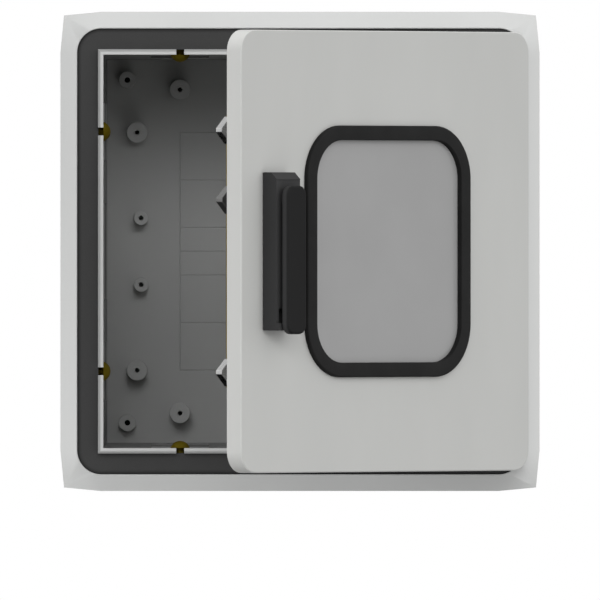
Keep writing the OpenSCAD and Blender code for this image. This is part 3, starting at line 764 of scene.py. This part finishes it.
class Bench:
    """Makes pieces from the frame's solids and fixes them to the frame's bodies."""

    def __init__(self, frame: Frame) -> None:
        """Keeps the frame and finds the open door."""
        self.frame = frame
        self.door = DoorPlane.of(frame)

    def fix(self, piece: bpy.types.Object, finish: Finish, node: str) -> bpy.types.Object:
        """Makes a finished piece stand for a CAD node and move with its body.

        Args:
            piece: The piece, in place.
            finish: Its finish.
            node: The CAD node that it stands for.

        Returns:
            The piece.
        """
        body = body_of(self.frame["nodes"][node])[0]
        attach(piece, body)
        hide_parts(node)
        LOG.info("%s: %d faces, on %s, %s", piece.name, len(piece.data.polygons), body, finish.name)
        return piece

    def solid(self, node: str) -> bmesh.types.BMesh:
        """Copies a CAD node with its triangles joined and its flat faces made whole.

        Args:
            node: The CAD node.

        Returns:
            The copy.
        """
        made = bmesh.new()
        made.from_mesh(self.frame["nodes"][node].data)
        bmesh.ops.remove_doubles(made, verts=made.verts, dist=MERGE_DIST)
        bmesh.ops.dissolve_limit(made, angle_limit=FLAT_ANGLE, verts=made.verts, edges=made.edges)
        return made

    def dress(
        self, node: str, finish: Finish, edge: EdgeBreak, shape: bmesh.types.BMesh | None = None
    ) -> bpy.types.Object:
        """Makes a piece that stands for a CAD node, with its edges broken.

        Args:
            node: The CAD node.
            finish: Its finish.
            edge: How its edges are broken.
            shape: A shape to use up in place of a copy of the node's own.

        Returns:
            The piece.
        """
        shape = self.solid(node) if shape is None else shape
        mesh = bpy.data.meshes.new(f"{node}_dressed")
        shape.to_mesh(mesh)
        shape.free()
        mesh.materials.clear()
        mesh.materials.append(finish.material())
        smooth_by_angle(mesh)
        piece = new_object(mesh.name, mesh)
        bevel = piece.modifiers.new("edges", "BEVEL")
        bevel.width = edge.width
        bevel.segments = edge.steps
        bevel.limit_method = "ANGLE"
        bevel.angle_limit = SHARP_ANGLE
        bevel.use_clamp_overlap = edge.held
        flats = piece.modifiers.new("flats", "WEIGHTED_NORMAL")
        flats.keep_sharp = True
        settle(piece)
        return self.fix(piece, finish, node)

    def islands(self, node: str) -> list[list[Vector]]:
        """Gives the corners of each separate solid of a CAD node.

        Args:
            node: The CAD node.

        Returns:
            One list of corners for each solid.
        """
        shape = self.solid(node)
        left = set(shape.verts)
        found = []
        while left:
            seed = left.pop()
            group, edge = [seed], [seed]
            while edge:
                for link in edge.pop().link_edges:
                    for vertex in link.verts:
                        if vertex in left:
                            left.discard(vertex)
                            group.append(vertex)
                            edge.append(vertex)
            found.append([vertex.co.copy() for vertex in group])
        shape.free()
        return sorted(found, key=lambda group: [round(part, SORT_DIGITS) for part in corners_middle(group)])


def corners_middle(corners: list[Vector]) -> Vector:
    """Finds the middle of the box round some corners.

    Args:
        corners: The corners.

    Returns:
        The middle.
    """
    low = [min(corner[i] for corner in corners) for i in range(3)]
    high = [max(corner[i] for corner in corners) for i in range(3)]
    return Vector([(a + b) / 2 for a, b in zip(low, high)])


def seat_on_axis(corners: list[Vector], axis: Vector, head_h: float) -> Seat:
    """Finds where a fastener of the CAD model sits.

    Args:
        corners: The fastener's corners.
        axis: The way that its head looks.
        head_h: The height of its head.

    Returns:
        The seat, under the head.
    """
    reach = [corner.dot(axis) for corner in corners]
    ring = [corner - axis * corner.dot(axis) for corner in corners]
    return Seat(corners_middle_round(ring, axis) + axis * (max(reach) - head_h), axis)


def corners_middle_round(ring: list[Vector], axis: Vector) -> Vector:
    """Finds the middle of corners that lie round an axis, measured along two lines across it.

    Args:
        ring: The corners, flattened along the axis.
        axis: The axis.

    Returns:
        The middle.
    """
    upright = abs(axis.dot(UP)) > UPRIGHT_SHARE
    side = Vector((1.0, 0.0, 0.0)) if upright else axis.cross(UP).normalized()
    made = Vector((0.0, 0.0, 0.0))
    for line in (side, axis.cross(side)):
        reach = [corner.dot(line) for corner in ring]
        made += line * (min(reach) + max(reach)) / 2
    return made


class GeometrySheet(NodeSheet):
    """A geometry tree with named sizes, which ends in plain meshes of one finish."""

    def __init__(self, name: str) -> None:
        """Makes the tree with its geometry sockets.

        Args:
            name: The tree's name.
        """
        super().__init__(bpy.data.node_groups.new(name, "GeometryNodeTree"))
        for way in ("INPUT", "OUTPUT"):
            self.tree.interface.new_socket("Geometry", in_out=way, socket_type="NodeSocketGeometry")
        self.source = self.node("NodeGroupInput", None, None, "Geometry")
        self.sizes: dict[str, float] = {}

    def size(self, name: str, value: float) -> Shade:
        """Adds a named size.

        Args:
            name: The input's name.
            value: The size that the piece uses.

        Returns:
            The input, for use in the tree.
        """
        item = self.tree.interface.new_socket(name, in_out="INPUT", socket_type="NodeSocketFloat")
        self.sizes[item.identifier] = value
        return self.source.also(name)

    def close(self, geometry: Shade, finish: Finish) -> None:
        """Ends the tree.

        Args:
            geometry: What it has made.
            finish: The finish of all of it.
        """
        real = self.node("GeometryNodeRealizeInstances", None, {"Geometry": geometry})
        skin = {"Geometry": real, "Material": finish.material()}
        dressed = self.node("GeometryNodeSetMaterial", None, skin)
        self.node("NodeGroupOutput", None, {"Geometry": dressed})

    def run(self, piece: bpy.types.Object) -> None:
        """Runs the tree on a piece and leaves a plain mesh.

        Args:
            piece: The piece, whose mesh is the tree's source geometry.
        """
        modifier = piece.modifiers.new(self.tree.name, "NODES")
        modifier.node_group = self.tree
        for identifier, value in self.sizes.items():
            modifier[identifier] = value
        settle(piece)
        smooth_by_angle(piece.data)


class Crown(Enum):
    """How a fastener's head is crowned."""

    CAP = "part of a ball"
    PAN = "flat with a rounded rim"


class Drive(Enum):
    """What a fastener's head is turned by."""

    NONE = "nothing"
    CROSS = "a cross recess"
    HEX = "a six-sided socket"


@dataclass(frozen=True)
class Fastener:
    """A turned fastener: its head, its shank and, on a rivet, the head on its far end.

    The recess's depth is a share of the head's height, and its other sizes are shares of the head's radius.
    """

    name: str
    head_r: float
    head_h: float
    shank_r: float
    shank_l: float
    crown: Crown = Crown.CAP
    drive: Drive = Drive.NONE
    tail_r: float = 0.0
    tail_h: float = 0.0
    rim_power: float = 7.0
    head_sides: int = 40
    head_rings: int = 26
    shank_sides: int = 32
    recess_depth: float = 1.1
    socket_r: float = 0.5
    cross_long: float = 1.05
    cross_slim: float = 0.24

    def tree(self, finish: Finish) -> GeometrySheet:
        """Builds the tree that puts the fastener on every seat.

        Args:
            finish: Its finish.

        Returns:
            The tree.
        """
        sheet = GeometrySheet(f"{self.name}_tree")
        head_r = sheet.size("Head Radius", self.head_r)
        head_h = sheet.size("Head Height", self.head_h)
        shank_r = sheet.size("Shank Radius", self.shank_r)
        shank_l = sheet.size("Shank Length", self.shank_l)
        parts = [self._head(sheet, head_r, head_h), self._shank(sheet, shank_r, shank_l, head_h)]
        if self.tail_h:
            tail_r = sheet.size("Tail Radius", self.tail_r)
            tail = self._head(sheet, tail_r, sheet.size("Tail Height", self.tail_h))
            down = sheet.node("ShaderNodeCombineXYZ", None, {"Z": 0 - shank_l})
            turned = {"Geometry": tail, "Rotation": (math.pi, 0.0, 0.0), "Translation": down}
            parts.append(sheet.node("GeometryNodeTransform", None, turned))
        joined = {"operation": "UNION", "solver": "MANIFOLD"}
        whole = sheet.node("GeometryNodeMeshBoolean", joined, {"Mesh 2": parts})
        if self.drive is not Drive.NONE:
            cut = {"operation": "DIFFERENCE", "solver": "MANIFOLD"}
            tools = self._recess(sheet, head_r, head_h)
            whole = sheet.node("GeometryNodeMeshBoolean", cut, {"Mesh 1": whole, "Mesh 2": tools})
        axis = sheet.node("GeometryNodeInputNamedAttribute", {"data_type": "FLOAT_VECTOR"}, {"Name": "axis"})
        turn = sheet.node("FunctionNodeAlignRotationToVector", {"axis": "Z"}, {"Vector": axis})
        spots = {"Points": sheet.source, "Instance": whole, "Rotation": turn}
        sheet.close(sheet.node("GeometryNodeInstanceOnPoints", None, spots), finish)
        return sheet

    def _head(self, sheet: GeometrySheet, radius: Shade, height: Shade) -> Shade:
        """Shapes a head from a ball, with its lower half pressed flat and its upper half as the crown is.

        Args:
            sheet: The tree.
            radius: The head's radius.
            height: The head's height.

        Returns:
            The head, standing on z = 0.
        """
        sockets = {"Segments": self.head_sides, "Rings": self.head_rings, "Radius": radius}
        ball = sheet.node("GeometryNodeMeshUVSphere", None, sockets)
        x = sheet.node("ShaderNodeSeparateXYZ", None, {"Vector": sheet.node("GeometryNodeInputPosition")})
        y = x.also("Y")
        out = (x * x + y * y) ** 0.5
        if self.crown is Crown.CAP:
            ball_r = (radius * radius + height * height) / (2 * height)
            rise = (ball_r * ball_r - out * out).at_least(0.0) ** 0.5 - (ball_r - height)
        else:
            power = sheet.size("Rim Power", self.rim_power)
            rise = height * (1 - (out / radius) ** power).at_least(0.0) ** (1 / power)
        upper = rise.at_least(0.0) * x.also("Z").above(-ROUNDING)
        spot = sheet.node("ShaderNodeCombineXYZ", None, {"X": x, "Y": y, "Z": upper})
        return sheet.node("GeometryNodeSetPosition", None, {"Geometry": ball, "Position": spot})

    def _shank(self, sheet: GeometrySheet, radius: Shade, length: Shade, head_h: Shade) -> Shade:
        """Adds the shank, which runs into the head.

        Args:
            sheet: The tree.
            radius: The shank's radius.
            length: Its length below the head.
            head_h: The head's height.

        Returns:
            The shank.
        """
        sockets = {"Vertices": self.shank_sides, "Radius": radius, "Depth": length + head_h / 2}
        rod = sheet.node("GeometryNodeMeshCylinder", None, sockets)
        middle = sheet.node("ShaderNodeCombineXYZ", None, {"Z": (head_h / 2 - length) / 2})
        return sheet.node("GeometryNodeTransform", None, {"Geometry": rod, "Translation": middle})

    def _recess(self, sheet: GeometrySheet, head_r: Shade, head_h: Shade) -> list[Shade]:
        """Makes the cutters of the drive's recess.

        Args:
            sheet: The tree.
            head_r: The head's radius.
            head_h: The head's height.

        Returns:
            The cutters.
        """
        depth = head_h * self.recess_depth
        at_top = sheet.node("ShaderNodeCombineXYZ", None, {"Z": head_h})
        if self.drive is Drive.HEX:
            socket = {"Vertices": 6, "Radius": head_r * self.socket_r, "Depth": depth}
            cuts = [sheet.node("GeometryNodeMeshCylinder", None, socket)]
        else:
            long, slim = head_r * self.cross_long, head_r * self.cross_slim
            sides = [{"X": long, "Y": slim, "Z": depth}, {"X": slim, "Y": long, "Z": depth}]
            boxes = [sheet.node("ShaderNodeCombineXYZ", None, side) for side in sides]
            cuts = [sheet.node("GeometryNodeMeshCube", None, {"Size": box}) for box in boxes]
        moves = [{"Geometry": cut, "Translation": at_top} for cut in cuts]
        return [sheet.node("GeometryNodeTransform", None, move) for move in moves]

    def make(self, bench: Bench, node: str, finish: Finish, seats: list[Seat]) -> bpy.types.Object:
        """Makes the fasteners that stand for a CAD node.

        Args:
            bench: Where pieces are made.
            node: The CAD node.
            finish: Their finish.
            seats: Where they sit.

        Returns:
            The piece.
        """
        mesh = bpy.data.meshes.new(f"{node}_dressed")
        mesh.from_pydata([seat.place for seat in seats], [], [])
        axes = mesh.attributes.new("axis", "FLOAT_VECTOR", "POINT")
        for slot, seat in zip(axes.data, seats):
            slot.vector = seat.axis
        piece = new_object(mesh.name, mesh)
        self.tree(finish).run(piece)
        return bench.fix(piece, finish, node)

    def make_inward(self, bench: Bench, node: str, finish: Finish) -> bpy.types.Object:
        """Makes fasteners whose heads look into the enclosure when the door is closed.

        Args:
            bench: Where pieces are made.
            node: The CAD node.
            finish: Their finish.

        Returns:
            The piece.
        """
        inward = -bench.door.outward
        seats = [seat_on_axis(corners, inward, self.head_h) for corners in bench.islands(node)]
        return self.make(bench, node, finish, seats)


@dataclass
class EnclosureBase:
    """The tub with its frame, the seal in its channel and the anchor studs in its collar."""

    collar_half: float = 168.6 * MM
    collar_front: float = 210.0 * MM
    collar_round: float = 1.7 * MM
    round_steps: int = 3
    edge_near: float = 0.05 * MM
    wall_t: float = 4.5 * MM
    floor_half: float = 161.5 * MM
    pad_front: float = 168.1 * MM
    shade_over: float = 0.3 * MM
    seal_near: float = 1 * MM
    seal_bulge: float = 0.4 * MM
    stud: Fastener = Fastener("anchor_stud", 8.1 * MM, 6 * MM, 3.2 * MM, 4.4 * MM)

    def build(self, bench: Bench) -> None:
        """Makes the pieces of the base.

        Args:
            bench: Where pieces are made.
        """
        tub = bench.solid("base_tub")
        self._round_collar(tub)
        # The tub's plastic, with painted shade inside and along the collar's outer edge.
        finish = LinedMoulding(
            "tub_moulding",
            GREY.slot,
            GREY.colour,
            floor=self.floor_half,
            inside=self.collar_half - self.wall_t + self.shade_over,
            shade_front=self.collar_round - self.collar_front,
            collar=self.collar_half,
            ledge=-self.pad_front,
        )
        bench.dress("base_tub", finish, FINE, tub)
        seal = bench.solid("frame_gasket")
        self._bulge_seal(seal)
        bench.dress("frame_gasket", FOAM, SOFT, seal)
        self.stud.make(bench, "anchor_studs", OLIVE, self._stud_seats(bench))

    def _round_collar(self, shape: bmesh.types.BMesh) -> None:
        """Rounds the outer edge of the collar's front.

        Args:
            shape: The tub's shape.
        """
        edges = []
        for edge in shape.edges:
            middle = (edge.verts[0].co + edge.verts[1].co) / 2
            reach = max(abs(middle.x), abs(middle.z))
            off = max(abs(middle.y + self.collar_front), abs(reach - self.collar_half))
            if off < self.edge_near:
                edges.append(edge)
        bmesh.ops.bevel(
            shape,
            geom=edges,
            offset=self.collar_round,
            segments=self.round_steps,
            profile=0.5,
            affect="EDGES",
            clamp_overlap=False,
        )

    def _bulge_seal(self, shape: bmesh.types.BMesh) -> None:
        """Runs the poured seal up to the collar and slightly into the mouths of its slots.

        Args:
            shape: The seal's shape.
        """
        inner = self.collar_half - self.seal_bulge
        for corner in shape.verts:
            reach = max(abs(corner.co.x), abs(corner.co.z))
            if reach < self.collar_half + self.seal_near:
                corner.co.x *= inner / reach
                corner.co.z *= inner / reach

    def _stud_seats(self, bench: Bench) -> list[Seat]:
        """Finds the studs' seats on the collar's inner walls.

        Args:
            bench: Where pieces are made.

        Returns:
            A seat for each stud, with its head looking into the tub.
        """
        seats = []
        for corners in bench.islands("anchor_studs"):
            middle = corners_middle(corners)
            if abs(middle.x) > abs(middle.z):
                axis = Vector((-math.copysign(1.0, middle.x), 0.0, 0.0))
            else:
                axis = Vector((0.0, 0.0, -math.copysign(1.0, middle.z)))
            seats.append(seat_on_axis(corners, axis, self.stud.head_h))
        return seats


@dataclass
class Hinges:
    """The two hinges: brackets in the collar, pins, and leaves screwed to the door."""

    leaf_screw: Fastener = Fastener(
        "leaf_screw", 4 * MM, 2.4 * MM, 2 * MM, 6 * MM, Crown.PAN, Drive.CROSS, rim_power=3.0
    )

    def build(self, bench: Bench) -> None:
        """Makes the pieces of the hinges.

        Args:
            bench: Where pieces are made.
        """
        for node in ("hinge_brackets", "hinge_pins", "hinge_leaves"):
            bench.dress(node, STEEL, FINE)
        self.leaf_screw.make_inward(bench, "hinge_leaf_screws", STEEL)


@dataclass
class DoorLeaf:
    """The moulded door."""

    edge: EdgeBreak = FINE
    colour: Colour = (0.5, 0.503, 0.49)

    def build(self, bench: Bench) -> None:
        """Makes the door's shell.

        Args:
            bench: Where pieces are made.
        """
        outward = bench.door.outward
        front = bench.door.origin.dot(outward)
        # The door's front face carries painted shade, darker than its edges.
        finish = FacedMoulding("door_moulding", GREY.slot, self.colour, outward=tuple(outward), front=front)
        bench.dress("door_panel", finish, self.edge)


@dataclass
class Window:
    """The window: a rubber profile swept round the opening, and the pane in its groove."""

    sight_half: float = 92 * MM
    sight_r: float = 32 * MM
    profile_w: float = 12.15 * MM
    profile_h: float = 4.4 * MM
    outer_round: float = 1.5 * MM
    inner_round: float = 0.9 * MM
    neck_w: float = 6 * MM
    flange_w: float = 10 * MM
    skin_t: float = 3.5 * MM
    flange_t: float = 3 * MM
    groove_w: float = 3 * MM
    groove_top: float = 0.5 * MM
    groove_h: float = 3 * MM
    corner_steps: int = 14

    def build(self, bench: Bench) -> None:
        """Makes the profile and the pane.

        Args:
            bench: Where pieces are made.
        """
        piece = new_object("window_seal_dressed", self._profile_mesh())
        self._sweep_tree().run(piece)
        self._face_outwards(piece.data)
        piece.data.transform(bench.door.matrix())
        bench.fix(piece, RUBBER, "window_seal")
        bench.dress("window_pane", PANE, FINE)

    def _profile_points(self) -> list[Point]:
        """Draws the profile's outline.

        Returns:
            Its points: x out from the clear opening, y above the door's front.
        """
        back = -self.skin_t - self.flange_t
        groove_low = -self.groove_top - self.groove_h
        outer = self._corner(self.profile_w, self.profile_h, self.outer_round, 0.0)
        inner = self._corner(0.0, self.profile_h, self.inner_round, 90.0)
        return [
            (0.0, back),
            (self.flange_w, back),
            (self.flange_w, -self.skin_t),
            (self.neck_w, -self.skin_t),
            (self.neck_w, 0.0),
            (self.profile_w, 0.0),
            *outer,
            *inner,
            (0.0, -self.groove_top),
            (self.groove_w, -self.groove_top),
            (self.groove_w, groove_low),
            (0.0, groove_low),
        ]

    @staticmethod
    def _corner(x: float, y: float, radius: float, start: float, steps: int = 5) -> list[Point]:
        """Rounds a corner of the outline.

        Args:
            x: The corner's place across.
            y: The corner's place up.
            radius: The rounding.
            start: The angle that it starts at, in degrees: 0 for the outer corner, 90 for the inner.
            steps: How many steps it takes.

        Returns:
            The points of the rounding.
        """
        centre_x = x - radius if start == 0.0 else x + radius
        turns = [math.radians(start + 90.0 * step / steps) for step in range(steps + 1)]
        return [(centre_x + radius * math.cos(a), y - radius + radius * math.sin(a)) for a in turns]

    def _profile_mesh(self) -> bpy.types.Mesh:
        """Turns the outline into edges, with its height downwards as the sweep takes it.

        Returns:
            A closed loop of edges.
        """
        points = self._profile_points()
        count = len(points)
        mesh = bpy.data.meshes.new("window_seal_dressed")
        mesh.from_pydata([(x, -y, 0.0) for x, y in points], [(i, (i + 1) % count) for i in range(count)], [])
        return mesh

    def _sweep_tree(self) -> GeometrySheet:
        """Builds the tree that sweeps the outline round a square with rounded corners.

        Returns:
            The tree.
        """
        sheet = GeometrySheet("window_sweep_tree")
        side = 2 * sheet.size("Sight Half", self.sight_half)
        radius = sheet.size("Corner Radius", self.sight_r)
        sight = sheet.node("GeometryNodeCurvePrimitiveQuadrilateral", None, {"Width": side, "Height": side})
        turn = {"Curve": sight, "Count": self.corner_steps, "Radius": radius}
        path = sheet.node("GeometryNodeFilletCurve", {"mode": "POLY"}, turn)
        upright = sheet.node("GeometryNodeSetCurveNormal", {"mode": "Z_UP"}, {"Curve": path})
        outline = sheet.node("GeometryNodeMeshToCurve", None, {"Mesh": sheet.source})
        swept = sheet.node("GeometryNodeCurveToMesh", None, {"Curve": upright, "Profile Curve": outline})
        sheet.close(swept, RUBBER)
        return sheet

    @staticmethod
    def _face_outwards(mesh: bpy.types.Mesh) -> None:
        """Turns every face of a closed mesh outwards.

        Args:
            mesh: The mesh, which is changed.
        """
        shape = bmesh.new()
        shape.from_mesh(mesh)
        bmesh.ops.remove_doubles(shape, verts=shape.verts, dist=MERGE_DIST)
        bmesh.ops.recalc_face_normals(shape, faces=shape.faces)
        shape.to_mesh(mesh)
        shape.free()
        smooth_by_angle(mesh)


@dataclass
class SwingHandle:
    """The swing handle: base block, seal, bush and screws on the door, and the hub and lever that turn."""

    base_screw: Fastener = Fastener(
        "base_screw", 4 * MM, 2.6 * MM, 2 * MM, 12.5 * MM, Crown.PAN, Drive.CROSS, rim_power=3.0
    )

    def build(self, bench: Bench) -> None:
        """Makes the pieces of the handle.

        Args:
            bench: Where pieces are made.
        """
        bench.dress("handle_base", BLACK, HELD)
        bench.dress("handle_seal", FOAM, FINE)
        bench.dress("spindle_bush", BLACK, FINE)
        bench.dress("handle_hub", BLACK, FINE)
        bench.dress("lever", self._lever_finish(bench), FINE)
        bench.dress("lever_pin", STEEL, FINE)
        self.base_screw.make_inward(bench, "handle_screws", STEEL)

    def _lever_finish(self, bench: Bench) -> FacedMoulding:
        """Gives the lever's plastic, whose face is darkened with painted shade.

        Args:
            bench: Where pieces are made.

        Returns:
            The finish, with its face where the lever's front is.
        """
        outward = bench.door.outward
        front = max(corner.dot(outward) for corners in bench.islands("lever") for corner in corners)
        return replace(LEVER, outward=tuple(outward), front=front)


@dataclass
class LatchGear:
    """The latch behind the door: spindle, cam, sliding bar, tongues, guides and rivets."""

    guide_screw: Fastener = Fastener(
        "guide_screw", 5.5 * MM, 3 * MM, 3 * MM, 15.6 * MM, Crown.PAN, Drive.HEX, rim_power=9.0
    )
    cam_screw: Fastener = Fastener(
        "cam_screw", 4.75 * MM, 2.2 * MM, 1.7 * MM, 12 * MM, Crown.PAN, Drive.CROSS, rim_power=6.0
    )
    rivet: Fastener = Fastener(
        "tongue_rivet", 3.52 * MM, 1.5 * MM, 2.2 * MM, 10 * MM, tail_r=3.52 * MM, tail_h=1.5 * MM
    )

    def build(self, bench: Bench) -> None:
        """Makes the pieces of the latch.

        Args:
            bench: Where pieces are made.
        """
        bench.dress("latch_bar", OLIVE, FINE)
        bench.dress("cam_tongue", CAM, SOFT)
        for node in ("upper_tongue", "lower_tongue"):
            bench.dress(node, TONGUE, SOFT)
        for node in ("spindle", "drive_pin"):
            bench.dress(node, STEEL, FINE)
        self.guide_screw.make_inward(bench, "bar_guide_screws", STEEL)
        self.cam_screw.make_inward(bench, "cam_screw", STEEL)
        self.rivet.make_inward(bench, "tongue_rivets", STEEL)


def square(half: float) -> list[Point]:
    """Gives the corners of a square round the origin."""
    return [(-half, -half), (half, -half), (half, half), (-half, half)]


@dataclass
class Studio:
    """White room with soft light, a pale floor below the object and the camera almost straight in front.

    The spans are parts of the directions forwards or up, over which one kind of light gives way to another.
    """

    lens: float = 1600.0
    sensor: float = 36.0
    distance: float = 22.259
    yaw: float = math.radians(-0.34)
    subject_y: float = -0.19
    aim_z: float = -0.04057
    clip: Point = (1.0, 100.0)
    floor_z: float = -0.32
    floor_half: float = 1.5
    near_right: float = 2.8
    near_left: float = 1.2
    near_below: float = 0.65
    far_top: float = 0.9
    far_right: float = 0.8
    far_left: float = 1.7
    skirting: float = -0.5
    front_above: float = 4.8
    near_span: Point = (0.1, 0.55)
    ahead_span: Point = (0.74, 0.82)
    above_span: Point = (0.0, 0.45)
    lamp_place: Place = (-0.48, -0.13, -0.7)
    lamp_aim: Place = (-0.1, -0.17, -0.2)
    lamp_size: float = 0.3
    lamp_power: float = 2.1
    # Dark discs of painted shade behind the fixing holes.
    shade_disc_r: float = 2.39 * MM
    shade_disc_y: float = -0.4 * MM
    shade_disc_sides: int = 32
    hole_pitch: float = 288.4 * MM

    def build(self) -> None:
        """Makes the room, the lamp, the floor, the dark discs of painted shade behind the fixing holes and
        the camera.
        """
        bpy.context.scene.view_settings.view_transform = "Standard"
        self._room()
        self._low_lamp()
        self._floor()
        self._hole_shade_discs()
        self._camera()

    def _room(self) -> None:
        """Lights the room in front from both sides and below, and from the walls behind and above the camera.

        The camera itself sees white.
        """
        world = bpy.data.worlds.new("white_room")
        world.use_nodes = True
        world.node_tree.nodes.clear()
        bpy.context.scene.world = world
        sheet = ShaderSheet(world.node_tree)
        way = sheet.node("ShaderNodeTexCoord", None, None, "Generated")
        across = sheet.node("ShaderNodeSeparateXYZ", None, {"Vector": way})
        up = across.also("Z")
        front = 0 - across.also("Y")
        right, left, below = across.at_least(0.0), (0 - across).at_least(0.0), (0 - up).at_least(0.0)
        near = sheet.spread(front, *self.near_span)
        ahead = sheet.spread(front, *self.ahead_span)
        above = sheet.spread(up, *self.above_span)
        boxes = right * self.near_right + left * self.near_left + below * self.near_below
        sides = (right * self.far_right + left * self.far_left) * sheet.spread(up, self.skirting, 0.0)
        walls = (1 - near) * (sides + up.at_least(0.0) * self.far_top)
        glow = boxes * near * (1 - ahead) + walls + ahead * above * self.front_above
        light = sheet.node("ShaderNodeBackground", None, {"Color": WHITE, "Strength": glow})
        white = sheet.node("ShaderNodeBackground", None, {"Color": WHITE, "Strength": 1.0})
        seen = sheet.node("ShaderNodeLightPath", None, None, "Is Camera Ray")
        mixed = sheet.node("ShaderNodeMixShader", None, {0: seen, 1: light, 2: white})
        sheet.node("ShaderNodeOutputWorld", None, {"Surface": mixed})

    def _low_lamp(self) -> None:
        """Puts a soft lamp low on the left, which lights the underside and fades to the right."""
        data = bpy.data.lights.new("low_lamp", "AREA")
        data.size = self.lamp_size
        data.energy = self.lamp_power
        lamp = bpy.data.objects.new("low_lamp", data)
        lamp.location = self.lamp_place
        lamp.rotation_euler = (Vector(self.lamp_aim) - lamp.location).to_track_quat("-Z", "Y").to_euler()
        lamp.visible_camera = False
        lamp.visible_glossy = False
        bpy.context.scene.collection.objects.link(lamp)

    def _floor(self) -> None:
        """Lays the floor, low enough to stay out of the camera's view."""
        mesh = bpy.data.meshes.new("floor")
        corners = [(x, y, self.floor_z) for x, y in square(self.floor_half)]
        mesh.from_pydata(corners, [], [(0, 1, 2, 3)])
        mesh.materials.append(PAPER.material())
        floor = new_object("floor", mesh)
        floor.visible_diffuse = False
        floor.visible_shadow = False
        floor.visible_glossy = False

    def _hole_shade_discs(self) -> None:
        """Puts dark discs behind the four fixing holes, painted shade seen through them."""
        shape = bmesh.new()
        sizes = {"segments": self.shade_disc_sides, "radius": self.shade_disc_r}
        for x, z in square(self.hole_pitch / 2):
            place = Matrix.Translation((x, self.shade_disc_y, z)) @ Matrix.Rotation(math.pi / 2, 4, "X")
            bmesh.ops.create_circle(shape, cap_ends=True, matrix=place, **sizes)
        mesh = bpy.data.meshes.new("hole_shade_discs")
        shape.to_mesh(mesh)
        shape.free()
        mesh.materials.append(RUBBER.material())
        new_object("hole_shade_discs", mesh)

    def _camera(self) -> None:
        """Sets the camera almost straight in front, with a lens so long that the view is nearly parallel."""
        data = bpy.data.cameras.new("camera")
        data.lens = self.lens
        data.sensor_width = self.sensor
        data.clip_start, data.clip_end = self.clip
        camera = bpy.data.objects.new("camera", data)
        back = self.subject_y - self.distance * math.cos(self.yaw)
        camera.location = (self.distance * math.sin(self.yaw), back, 0.0)
        camera.rotation_euler = (math.pi / 2 + math.atan(self.aim_z / self.distance), 0.0, self.yaw)
        bpy.context.scene.collection.objects.link(camera)
        bpy.context.scene.camera = camera


def main() -> None:
    """Loads the frame and builds the room and each sub-assembly in order."""
    logging.basicConfig(level=logging.INFO, format="%(message)s")
    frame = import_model()
    Studio().build()
    bench = Bench(frame)
    for assembly in (EnclosureBase(), Hinges(), DoorLeaf(), Window(), SwingHandle(), LatchGear()):
        LOG.info("building %s", type(assembly).__name__)
        assembly.build(bench)


if __name__ == "__main__":
    main()
